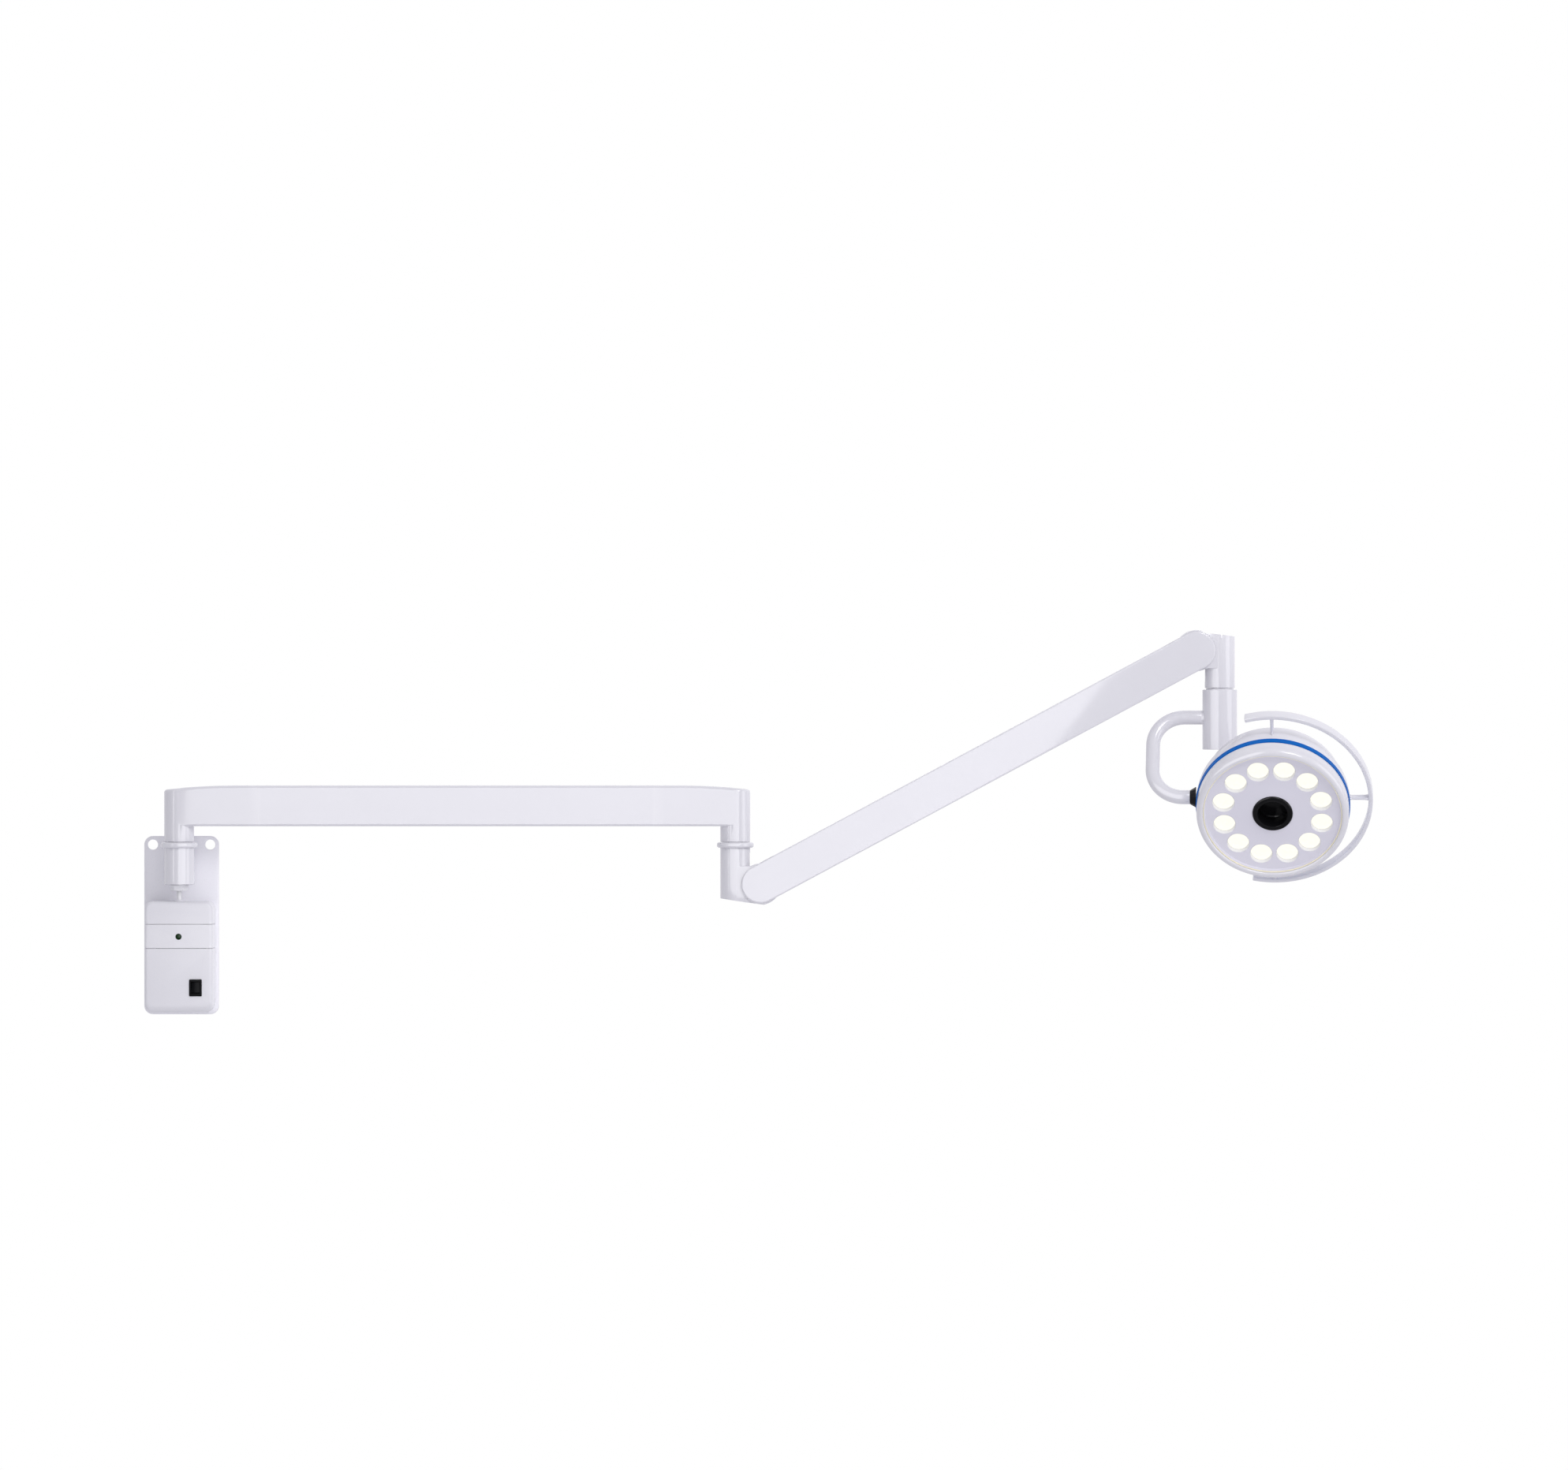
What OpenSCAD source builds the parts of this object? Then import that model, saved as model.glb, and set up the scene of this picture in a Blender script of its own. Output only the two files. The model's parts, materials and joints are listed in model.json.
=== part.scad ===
// Wall-mounted surgical light: a wall plate with its supply box, a level arm,
// a counterbalanced spring arm, a swivelling yoke and a twelve-lens lamp head.
// Millimetres. Origin at the centre of the wall plate's back face, +Y into the wall.

/* [Wall plate] */
// Width of the wall plate
plate_w = 95; // [90:1:110]
// Height of the wall plate
plate_h = 227; // [220:1:240]
// Thickness of the wall plate
plate_t = 5; // [4:0.5:8]
// Corner radius of the wall plate
plate_corner = 11; // [8:1:14]
// Diameter of the two wall bolt holes
bolt_hole_d = 13; // [8:0.5:14]
// Distance of each bolt hole from the plate's edges
bolt_inset = 11; // [10:0.5:14]

/* [Supply box] */
// Width of the supply box
box_w = 86; // [80:1:90]
// Height of the supply box
box_h = 140; // [130:1:150]
// Depth of the supply box in front of the plate
box_d = 56; // [54:1:62]
// Height of the box's top edge above the origin
box_top_z = 31; // [28:1:36]
// Radius of the box's corners and front edges
box_corner = 9; // [6:0.5:10]
// Wall thickness of the box covers
cover_t = 2.5; // [2:0.5:3]
// Height of the seam above the indicator strip
upper_seam_z = 2.2; // [0:0.2:4]
// Height of the seam below the indicator strip
lower_seam_z = -28.3; // [-30:0.2:-26]

/* [Level arm] */
// Distance of the arms' mid-plane from the wall
arm_stand_off = 48; // [46:1:56]
// Distance between the wall axis and the elbow axis
level_arm_l = 705; // [500:5:900]
// Height of the level arm's underside
level_arm_z = 126.5; // [120:0.5:140]
// Height of the level arm's section
level_arm_h = 51.5; // [46:0.5:56]
// Width of the arms and diameter of the vertical bosses
boss_d = 38; // [36:1:42]
// Drop of the arm's top edge at its round ends
end_droop = 5; // [2:0.5:6]
// Length of each end casting from its boss axis
casting_l = 101; // [80:1:140]
// Wall thickness of the beam
beam_t = 2.5; // [2:0.5:4]

/* [Spring arm] */
// Distance between the spring arm's two pivots
spring_arm_l = 626.3; // [500:1:700]
// Angle of the spring arm above level
pitch = 28.2; // [5:0.2:30]
// Half of the spring arm's height, which is also its end radius
spring_arm_r = 23.95; // [22:0.05:25]
// Horizontal distance from the elbow axis to the lower pivot
knuckle_reach = 32; // [31:0.5:36]
// Height of the lower pivot
lower_pivot_z = 52.9; // [50:0.1:56]
// Radius of the knuckle hubs
hub_r = 26; // [25:0.5:28]

/* [Yoke] */
// Turn of the head about the vertical axis, seen from above
head_yaw = -5; // [-20:1:20]
// Diameter of the head sleeve
sleeve_d = 44; // [42:1:48]
// Height of the yoke's upper run
yoke_z = 264.1; // [262:0.1:268]
// Reach of the yoke to the side of the sleeve axis
yoke_reach = 83.6; // [80:0.2:90]
// Diameter of the yoke tube
yoke_d = 17.8; // [16:0.2:20]
// Centre-line radius of the yoke's bends
yoke_bend_r = 39; // [34:1:42]

/* [Lamp head] */
// Sideways distance from the sleeve axis to the head's centre
head_offset = 69.5; // [68:0.5:74]
// Distance from the sleeve axis forward to the tilt axis
tilt_forward = 52; // [48:1:56]
// Height of the tilt axis
tilt_z = 163.5; // [160:0.5:166]
// Angle by which the lamp's face looks down
face_tilt = 32.7; // [0:0.1:60]
// Outer radius of the head's front bezel
head_r = 96; // [94:0.5:100]
// Number of lenses
lens_count = 12; // [8:1:12]
// Radius of the ring on which the lenses sit
lens_ring_r = 63.4; // [62:0.1:65]
// Diameter of each lens opening in the face
lens_hole_d = 28.6; // [26:0.1:29]
// Inner radius of the grab rail
rail_r = 120; // [116:0.5:126]

/* [Hidden] */
$fn = 72;

// running clearance on a radius, and a gap that keeps moving faces apart
run = 0.05;
gap = 0.4;

// the arms' plane and the bosses
arm_y = -arm_stand_off;
boss_r = boss_d / 2;
elbow_x = level_arm_l;
level_arm_top = level_arm_z + level_arm_h;
spindle_r = 10;
cable_way_r = 4.5;
bush_r = 15;
bush_h = 15;
collar_h = 7;
collar_z = 99;
collar_r = 23.3;
boss_z = collar_z + collar_h + gap;
sleeve_low_z = 52.5;
thread_r = 7;
wall_nut_z = 44.5;
root_floor_z = 150;
droop_l = 73;
plug_gap = 0.2;
spigot_l = 20;
cap_r = 16.5;
elbow_nut_z = 155.4;
elbow_nut_h = 8;
cap_z = 167;
cap_h = 6;
cable_z = 158;
cable_r = 2.5;

// the supply box
base_t = 3;
seam = 0.5;
indicator_z = -13.5;
indicator_r = 3.7;
switch_x = 21.5;
switch_z = -78.3;
switch_w = 16;
switch_h = 21.5;
gland_r = 6;
box_low_z = box_top_z - box_h;
front_y = -plate_t - box_d;
key_w = 11;
key_h = 15.4;
key_pivot_y = front_y + 5;
key_tilt = -10;

// the knuckles and the spring arm
knuckle_half_w = boss_r;
lower_x = elbow_x + knuckle_reach;
upper_x = lower_x + spring_arm_l * cos(pitch);
upper_z = lower_pivot_z + spring_arm_l * sin(pitch);
end_reach = 30.3;
end_x = upper_x + end_reach;
end_tube_z = 301.5;
knuckle_floor_z = 60;
head_floor_z = 320;
head_nut_z = 232;
head_nut_h = 8;
block_half_w = boss_r - 0.4;
slot_half_w = 4.5;
slot_reach = 14;
pin_r = 5;
link_drop = 12;
link_pin_r = 3;
link_half_h = 3.5;
link_end_r = 5;
rod_rise = 13;
rod_pin_r = 2;
rod_play = 0.5;
eye_lift = 1.7;
eye_half_h = 5.6;
gas_line_z = rod_rise * cos(pitch);
cheek_y = 19.2;
cheek_t = 1.4;
cheek_r = 19.5;
cover_y = cheek_y + cheek_t;
arm_half_w = 22.4;
skirt_t = 2.2;
skirt_x = 31;
web_x = 46;

// the swivel sleeve and the yoke
sleeve_z = 223.5;
sleeve_top = 299.5;
yoke_drop = yoke_z - tilt_z;
yoke_plane_h = sqrt(yoke_drop * yoke_drop + tilt_forward * tilt_forward);
yoke_lean = atan(tilt_forward / yoke_drop);
yoke_bore_r = 6;
collar_front_x = head_offset - head_r - 1.2;
collar_l = 7.8;
yoke_end_x = collar_front_x - collar_l;
tilt_shaft_r = 5;
shaft_grip = 10;

// the lamp head, along its own axis from the tilt axis forward
back_z = -33;
shoulder_z = -3;
blue_z = 14;
bezel_z = 21.5;
crown_z = 42.5;
face_z = 36;
face_t = 2;
lens_z = 29;
board_z = 12;
board_t = 2;
wall = 2.5;
face_r = 86.3;
back_r = 87.5;
waist_r = 91.5;
first_lens = 14;
socket_hole_r = 18.7;
socket_r = 25.3;
socket_front_z = 39.5;
socket_floor_z = 16;
rail_t = 5.5;
rail_w = 13.6;
rail_start = -16;
rail_end = 193;
post_r = 3.5;
seal_t = 1.2;
socket_wall_r = 21;
lens_r = 13.6;
lens_t = 2.5;
sink_t = 4;
board_r = 84;
seal_lip = 4;
tilt_bush_r = 7.5;
fin_inner_x = 68;
post_angles = [0, 90, 180];

// placement: each sub-part is drawn about its own axis
module at_wall_axis() { translate([0, arm_y, 0]) children(); }
module at_elbow() { translate([elbow_x, arm_y, 0]) children(); }
module at_lower_pivot() { translate([lower_x, arm_y, lower_pivot_z]) children(); }
module at_upper_pivot() { translate([upper_x, arm_y, upper_z]) children(); }
module along_spring_arm() { at_lower_pivot() rotate([0, -pitch, 0]) children(); }
module at_end() { translate([end_x, arm_y, 0]) children(); }
module at_head() { at_end() rotate([0, 0, head_yaw]) children(); }
module in_lamp() {
    at_head() translate([head_offset, -tilt_forward, tilt_z])
        rotate([90 + face_tilt, 0, 0]) children();
}

// shared shapes
module tube(r_out, r_in, z, h) {
    translate([0, 0, z]) difference() {
        cylinder(r = r_out, h = h);
        translate([0, 0, -1]) cylinder(r = r_in, h = h + 2);
    }
}
module rod(r, z, h) { translate([0, 0, z]) cylinder(r = r, h = h); }
module cross_pin(r, half_l) {
    rotate([90, 0, 0]) translate([0, 0, -half_l]) cylinder(r = r, h = 2 * half_l);
}
module rounded_rect(w, h, r) {
    square([w - 2 * r, h], center = true);
    square([w, h - 2 * r], center = true);
    for (x = [-1, 1], y = [-1, 1]) translate([x * (w / 2 - r), y * (h / 2 - r)]) circle(r = r);
}
module ring_profile(r_in, r_out, z, h, edge) {
    translate([(r_in + r_out) / 2, z + h / 2]) rounded_rect(r_out - r_in, h, edge);
}
module stadium(l, r) {
    circle(r = r);
    translate([l, 0]) circle(r = r);
    translate([0, -r]) square([l, 2 * r]);
}
module upright(y_front, t) { translate([0, y_front + t, 0]) rotate([90, 0, 0]) linear_extrude(t) children(); }
module bush(z) { tube(bush_r, spindle_r + run, z, bush_h); }
module collar(z) { rotate_extrude() ring_profile(spindle_r + 0.5, collar_r, z, collar_h, 2.5); }
module spindle(z, top) { tube(spindle_r, cable_way_r, z, top - z); }
module hex_nut(z, across, h, bore_r) {
    difference() {
        rotate([0, 0, 30]) translate([0, 0, z]) cylinder(r = across / sqrt(3), h = h, $fn = 6);
        translate([0, 0, z - 1]) cylinder(r = bore_r, h = h + 2);
    }
}

// ---- wall unit ----
module wall_plate() {
    bolt_x = plate_w / 2 - bolt_inset;
    bolt_z = plate_h / 2 - bolt_inset;
    color("whitesmoke") upright(-plate_t, plate_t) difference() {
        rounded_rect(plate_w, plate_h, plate_corner);
        for (side = [-1, 1]) translate([side * bolt_x, bolt_z]) circle(d = bolt_hole_d);
    }
}
module bracket_web() {
    web_w = 40.4;
    web_low = 60;
    web_top = 94;
    color("whitesmoke") difference() {
        translate([-web_w / 2, arm_y + 10, web_low])
            cube([web_w, arm_stand_off - plate_t - 10, web_top - web_low]);
        at_wall_axis() rod(boss_r, web_low - 1, web_top - web_low + 2);
    }
}
module wall_sleeve() { color("whitesmoke") at_wall_axis() tube(boss_r, bush_r, sleeve_low_z, collar_z - sleeve_low_z); }
module wall_bushes() {
    color("tan") at_wall_axis() {
        bush(sleeve_low_z);
        bush(collar_z - bush_h);
    }
}
module wall_collar() { color("whitesmoke") at_wall_axis() collar(collar_z); }

// one stretch of the box's front shell, between two heights
module box_shell(z_low, z_high) {
    middle = box_top_z - box_h / 2;
    difference() {
        upright(front_y, box_d - base_t) translate([0, middle]) rounded_rect(box_w, box_h, box_corner);
        upright(front_y + cover_t, box_d) translate([0, middle])
            rounded_rect(box_w - 2 * cover_t, box_h - 2 * cover_t, box_corner - cover_t);
        translate([-box_w, front_y - 1, z_high]) cube([2 * box_w, box_d + 2, box_h]);
        translate([-box_w, front_y - 1, z_low - box_h]) cube([2 * box_w, box_d + 2, box_h]);
    }
}
module box_base() {
    color("whitesmoke") upright(-plate_t - base_t, base_t)
        translate([0, box_top_z - box_h / 2]) rounded_rect(box_w, box_h, box_corner);
}
module box_top_cover() {
    color("whitesmoke") difference() {
        box_shell(upper_seam_z + seam / 2, box_top_z + 1);
        at_wall_axis() rod(gland_r, box_top_z - 8, 16);
    }
}
module indicator_cover() {
    color("whitesmoke") difference() {
        box_shell(lower_seam_z + seam / 2, upper_seam_z - seam / 2);
        translate([0, -plate_t - box_d / 2, indicator_z]) rotate([90, 0, 0]) cylinder(r = indicator_r + 0.3, h = box_d);
    }
}
module box_lower_cover() {
    color("whitesmoke") difference() {
        box_shell(box_low_z - 1, lower_seam_z - seam / 2);
        translate([switch_x, -plate_t - box_d, switch_z]) cube([switch_w - 2, 12, switch_h - 2], center = true);
    }
}
module power_supply() {
    board_y = -plate_t - base_t - 6;
    color("darkolivegreen") translate([-32, board_y, box_low_z + 12]) cube([64, 1.6, 96]);
    color("dimgray") {
        translate([-26, board_y - 19, box_low_z + 50]) cube([30, 19, 26]);
        translate([10, board_y - 12, box_low_z + 66]) cube([14, 12, 34]);
        for (z = [20, 34]) translate([-18, board_y, box_low_z + z]) rotate([90, 0, 0]) cylinder(r = 5.5, h = 16);
    }
    color("silver") for (x = [-28, 28], z = [16, 104]) translate([x, -plate_t - base_t, box_low_z + z])
        rotate([90, 0, 0]) cylinder(r = 2, h = 4.4);
}
module indicator_lens() {
    color("darkgreen") translate([0, front_y + cover_t, indicator_z]) {
        rotate([90, 0, 0]) cylinder(r = indicator_r, h = cover_t + 0.6);
        rotate([-90, 0, 0]) cylinder(r = indicator_r + 1.2, h = 3);
    }
}
module switch_housing() {
    color("black") translate([switch_x, front_y, switch_z]) difference() {
        union() {
            translate([-switch_w / 2, -1.5, -switch_h / 2]) cube([switch_w, 1.5, switch_h]);
            translate([-switch_w / 2 + 1.1, 0, -switch_h / 2 + 1.1]) cube([switch_w - 2.2, 20, switch_h - 2.2]);
        }
        translate([-key_w / 2 - gap, -3, -key_h / 2 - gap]) cube([key_w + 2 * gap, 15, key_h + 2 * gap]);
    }
}
module rocker_key() {
    color("black") translate([switch_x, key_pivot_y, switch_z]) rotate([key_tilt, 0, 0]) {
        intersection() {
            translate([-key_w / 2, 0, 0]) rotate([0, 90, 0]) cylinder(r = 8.2, h = key_w);
            translate([-key_w / 2, -6, -7]) cube([key_w, 6, 14]);
        }
        translate([-key_w / 2, 0, 0]) rotate([0, 90, 0]) cylinder(r = 3, h = key_w);
    }
}
module cable_gland() {
    color("gainsboro") at_wall_axis() {
        tube(gland_r, cable_r, box_top_z - 6, 6);
        tube(gland_r + 1.5, cable_r, box_top_z, 2);
    }
}
module supply_cable() { color("white") at_wall_axis() rod(cable_r, box_top_z - 20, 50); }

// ---- level arm ----
// height of the arm's top edge, which drops along an arc over each end
function arm_top(x) = level_arm_top - end_droop * pow(max(0, droop_l - min(x, level_arm_l - x)) / (droop_l + boss_r), 2);
module arm_outline() {
    steps = 10;
    end_span = droop_l + boss_r;
    polygon(concat(
        [[level_arm_l + boss_r, level_arm_z], [-boss_r, level_arm_z]],
        [for (i = [0:steps]) let (x = -boss_r + end_span * i / steps) [x, arm_top(x)]],
        [for (i = [0:steps]) let (x = level_arm_l - droop_l + end_span * i / steps) [x, arm_top(x)]]
    ));
}
module arm_block(x0, x1) {
    intersection() {
        translate([0, 0, level_arm_z]) linear_extrude(level_arm_h) stadium(level_arm_l, boss_r);
        translate([x0, -boss_d, 0]) cube([x1 - x0, 2 * boss_d, 2 * level_arm_top]);
        rotate([90, 0, 0]) translate([0, 0, -boss_d]) linear_extrude(2 * boss_d) arm_outline();
    }
}
module spigot(x) {
    translate([x, -boss_r + beam_t + plug_gap, level_arm_z + beam_t + plug_gap])
        cube([spigot_l, boss_d - 2 * (beam_t + plug_gap), level_arm_h - 2 * (beam_t + plug_gap)]);
}
module cable_way(x0, x1) {
    translate([x0, -10, cable_z - 12]) cube([x1 - x0, 20, 20]);
}
module arm_root_casting() {
    color("white") at_wall_axis() difference() {
        union() {
            arm_block(-boss_d, casting_l);
            rod(boss_r, boss_z, 30);
            spigot(casting_l);
        }
        rod(spindle_r, boss_z - 1, root_floor_z - boss_z + 1);
        rod(bush_r, root_floor_z, cap_z - root_floor_z);
        rod(cap_r, cap_z, 30);
        cable_way(0, casting_l + spigot_l + 1);
    }
}
module arm_beam() {
    l = level_arm_l - 2 * casting_l;
    color("white") at_wall_axis() translate([casting_l, 0, level_arm_z + level_arm_h / 2]) rotate([90, 0, 90])
        linear_extrude(l) difference() {
            square([boss_d, level_arm_h], center = true);
            square([boss_d - 2 * beam_t, level_arm_h - 2 * beam_t], center = true);
        }
}
module arm_tip_casting() {
    color("white") at_wall_axis() difference() {
        union() {
            arm_block(level_arm_l - casting_l, level_arm_l + boss_d);
            translate([level_arm_l, 0, 0]) rod(boss_r, boss_z, 30);
            spigot(level_arm_l - casting_l - spigot_l);
        }
        translate([level_arm_l, 0, 0]) {
            rod(bush_r, boss_z - 1, elbow_nut_z - boss_z + 1);
            rod(cap_r, elbow_nut_z - gap, 40);
        }
        cable_way(level_arm_l - casting_l - spigot_l - 1, level_arm_l);
    }
}
module wall_spindle() {
    color("silver") at_wall_axis() {
        spindle(sleeve_low_z - gap, root_floor_z);
        tube(thread_r, cable_way_r, wall_nut_z, sleeve_low_z - gap - wall_nut_z);
    }
}
module wall_spindle_nut() {
    flange_h = 1.6;
    top = sleeve_low_z - gap;
    color("gainsboro") at_wall_axis() {
        hex_nut(wall_nut_z, 20, top - wall_nut_z, thread_r);
        tube(12.5, thread_r, top - flange_h, flange_h);
    }
}
module elbow_bushes() {
    color("tan") at_elbow() {
        bush(boss_z);
        bush(elbow_nut_z - gap - bush_h);
    }
}
module boss_caps() {
    color("white") at_wall_axis() for (x = [0, level_arm_l]) translate([x, 0, 0]) rod(cap_r, cap_z, cap_h);
}
module beam_cable() {
    color("white") at_wall_axis() translate([0, 0, cable_z]) rotate([0, 90, 0])
        translate([0, 0, 16]) cylinder(r = cable_r, h = level_arm_l - 36);
}

// ---- elbow ----
module elbow_collar() { color("whitesmoke") at_elbow() collar(collar_z); }
module elbow_spindle() {
    color("silver") at_elbow() {
        spindle(knuckle_floor_z, elbow_nut_z - gap);
        tube(thread_r, cable_way_r, elbow_nut_z - gap, elbow_nut_h + 1);
    }
}
module elbow_nut() { color("silver") at_elbow() hex_nut(elbow_nut_z, 27, elbow_nut_h, thread_r); }

// a knuckle's hub on a pivot, slotted for the link and the gas spring's rod
module hub_block(reach, low, high) {
    rotate([90, 0, 0]) translate([0, 0, -knuckle_half_w]) cylinder(r = hub_r, h = 2 * knuckle_half_w);
    translate([min(0, reach), -block_half_w, low]) cube([abs(reach), 2 * block_half_w, high - low]);
}
module hub_holes(slot_from) {
    cross_pin(pin_r + run, knuckle_half_w + 1);
    translate([slot_from, -slot_half_w, -hub_r - 1]) cube([hub_r + slot_reach + 1, 2 * slot_half_w, 2 * hub_r + 2]);
}
module lower_knuckle() {
    low = -22;
    high = collar_z - lower_pivot_z;
    color("white") difference() {
        union() {
            at_lower_pivot() hub_block(-knuckle_reach, low, 22);
            at_elbow() rod(boss_r, lower_pivot_z + low, collar_z - lower_pivot_z - low);
        }
        at_elbow() rod(spindle_r, knuckle_floor_z, high);
        at_lower_pivot() {
            hub_holes(-slot_reach);
            translate([0, 0, -link_drop]) cross_pin(link_pin_r, 12);
            translate([0, 0, rod_rise]) cross_pin(rod_pin_r, 12);
        }
    }
}
module lower_link_pin() { color("silver") at_lower_pivot() translate([0, 0, -link_drop]) cross_pin(link_pin_r, 12); }
module gas_spring_pin() { color("silver") at_lower_pivot() translate([0, 0, rod_rise]) cross_pin(rod_pin_r, 12); }

// ---- spring arm ----
module spring_arm_frame() {
    color("silver") along_spring_arm() {
        for (side = [-1, 1]) difference() {
            translate([0, side * (cheek_y + cheek_t / 2) + cheek_t / 2, 0]) rotate([90, 0, 0])
                linear_extrude(cheek_t) stadium(spring_arm_l, cheek_r);
            for (x = [0, spring_arm_l]) translate([x, 0, 0]) cross_pin(pin_r, arm_half_w);
        }
        translate([web_x, -cheek_y, -cheek_r]) cube([spring_arm_l - 2 * web_x, 2 * cheek_y, cheek_t]);
    }
}
module arm_cover() {
    color("white") along_spring_arm() {
        translate([0, -cover_y, 0]) rotate([90, 0, 0])
            linear_extrude(arm_half_w - cover_y) stadium(spring_arm_l, spring_arm_r);
        for (z = [-spring_arm_r, spring_arm_r - skirt_t])
            translate([skirt_x, -cover_y, z]) cube([spring_arm_l - 2 * skirt_x, cover_y, skirt_t]);
    }
}
module front_cover() { arm_cover(); }
module rear_cover() { translate([0, arm_y, 0]) mirror([0, 1, 0]) translate([0, -arm_y, 0]) arm_cover(); }
module lower_pivot_pin() { color("silver") at_lower_pivot() cross_pin(pin_r, cover_y - run); }
module upper_pivot_pin() { color("silver") at_upper_pivot() cross_pin(pin_r, cover_y - run); }
module gas_spring_cylinder() {
    gas_x = 110;
    gas_l = 210;
    color("dimgray") along_spring_arm() translate([0, 0, gas_line_z]) {
        rotate([0, 90, 0]) {
            tube(9, 4.1, gas_x, 12);
            tube(9, 7, gas_x + 12, gas_l);
            rod(9, gas_x + 12 + gas_l, 6);
        }
        translate([gas_x + gas_l + 18, -cheek_y, -4]) cube([10, 2 * cheek_y, 8]);
    }
}
module gas_spring_rod() {
    color("silver") along_spring_arm() translate([0, 0, gas_line_z]) {
        rotate([0, 90, 0]) rod(4, 18, 160);
        rotate([0, 90, 0]) rod(6.9, 178, 8);
        difference() {
            translate([-2, -3, -eye_half_h]) cube([22, 6, 2 * eye_half_h]);
            translate([rod_rise * sin(pitch), 0, 0]) rod_eye();
        }
    }
}
// the rod's eye is open, because the closed linkage ends in it with play
module rod_eye() {
    r = rod_pin_r + 0.1 + rod_play;
    rotate([90, 0, 0]) translate([0, 0, -5]) linear_extrude(10) {
        for (z = [-eye_lift, eye_lift]) translate([0, z]) circle(r = r);
        square([2 * r, 2 * eye_lift], center = true);
    }
}
module level_link() {
    color("silver") translate([0, 0, -link_drop]) along_spring_arm() rotate([90, 0, 0])
        translate([0, 0, -3]) linear_extrude(6) difference() {
            union() {
                stadium(spring_arm_l, link_half_h);
                for (x = [0, spring_arm_l]) translate([x, 0]) circle(r = link_end_r);
            }
            circle(r = link_pin_r + run);
            translate([spring_arm_l, 0]) circle(r = link_pin_r + 4 * run);
        }
}

// ---- end knuckle ----
module end_knuckle() {
    low = -22.5;
    high = 22.5;
    color("white") difference() {
        union() {
            at_upper_pivot() hub_block(end_reach, low, high);
            at_end() rod(boss_r, end_tube_z, upper_z + high - end_tube_z);
        }
        at_end() rod(spindle_r, end_tube_z - 1, head_floor_z - end_tube_z + 1);
        at_upper_pivot() {
            hub_holes(-hub_r - 1);
            translate([0, 0, -link_drop]) cross_pin(link_pin_r, 12);
        }
    }
}
module upper_link_pin() { color("silver") at_upper_pivot() translate([0, 0, -link_drop]) cross_pin(link_pin_r, 12); }
module head_spindle() {
    color("silver") at_end() {
        spindle(head_nut_z + head_nut_h + gap, head_floor_z);
        tube(thread_r, cable_way_r, head_nut_z, head_nut_h + gap);
    }
}
module head_spindle_nut() { color("silver") at_end() hex_nut(head_nut_z, 24, head_nut_h, thread_r); }

// ---- swivel sleeve and yoke ----
module head_sleeve() {
    color("white") at_head() difference() {
        rod(sleeve_d / 2, sleeve_z, sleeve_top - sleeve_z);
        rod(bush_r, sleeve_z - 1, sleeve_top - sleeve_z + 2);
        translate([0, 0, yoke_z]) rotate([0, -90, 0]) cylinder(d = yoke_d, h = sleeve_d);
    }
}
module head_bushes() {
    color("tan") at_head() {
        bush(sleeve_top - bush_h);
        bush(head_nut_z + head_nut_h + gap + run);
    }
}
module sleeve_cap() {
    color("white") at_head() {
        rod(bush_r, sleeve_z, 4);
    }
}
// the yoke's centre line, swept with a round section of radius r
module yoke_path(r) {
    bend_x = -yoke_reach + yoke_bend_r;
    low_y = -yoke_plane_h;
    translate([bend_x, 0, 0]) rotate([0, 90, 0]) cylinder(r = r, h = -bush_r - 1 - bend_x);
    translate([bend_x, -yoke_bend_r, 0]) rotate([0, 0, 90])
        rotate_extrude(angle = 90) translate([yoke_bend_r, 0]) circle(r = r);
    translate([-yoke_reach, low_y + yoke_bend_r, 0]) rotate([-90, 0, 0])
        cylinder(r = r, h = yoke_plane_h - 2 * yoke_bend_r);
    translate([bend_x, low_y + yoke_bend_r, 0]) rotate([0, 0, 180])
        rotate_extrude(angle = 90) translate([yoke_bend_r, 0]) circle(r = r);
    translate([bend_x, low_y, 0]) rotate([0, 90, 0]) cylinder(r = r, h = yoke_end_x - bend_x);
}
module yoke_tube() {
    color("white") at_head() translate([0, 0, yoke_z]) rotate([90 - yoke_lean, 0, 0]) difference() {
        yoke_path(yoke_d / 2);
        translate([yoke_end_x - shaft_grip, -yoke_plane_h, 0]) rotate([0, 90, 0])
            cylinder(r = yoke_bore_r, h = shaft_grip + 1);
    }
}
module on_tilt_axis(x) { at_head() translate([x, -tilt_forward, tilt_z]) rotate([0, 90, 0]) children(); }
module pivot_collar() {
    color("black") on_tilt_axis(yoke_end_x) difference() {
        cylinder(r1 = yoke_d / 2, r2 = 13.25, h = collar_l, $fn = 64);
        translate([0, 0, -1]) cylinder(r = yoke_bore_r, h = collar_l + 2);
    }
}
module tilt_shaft() {
    color("silver") {
        on_tilt_axis(yoke_end_x - shaft_grip) cylinder(r = yoke_bore_r - run, h = collar_l + shaft_grip);
        on_tilt_axis(collar_front_x) cylinder(r = tilt_shaft_r, h = 30);
    }
}

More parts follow.
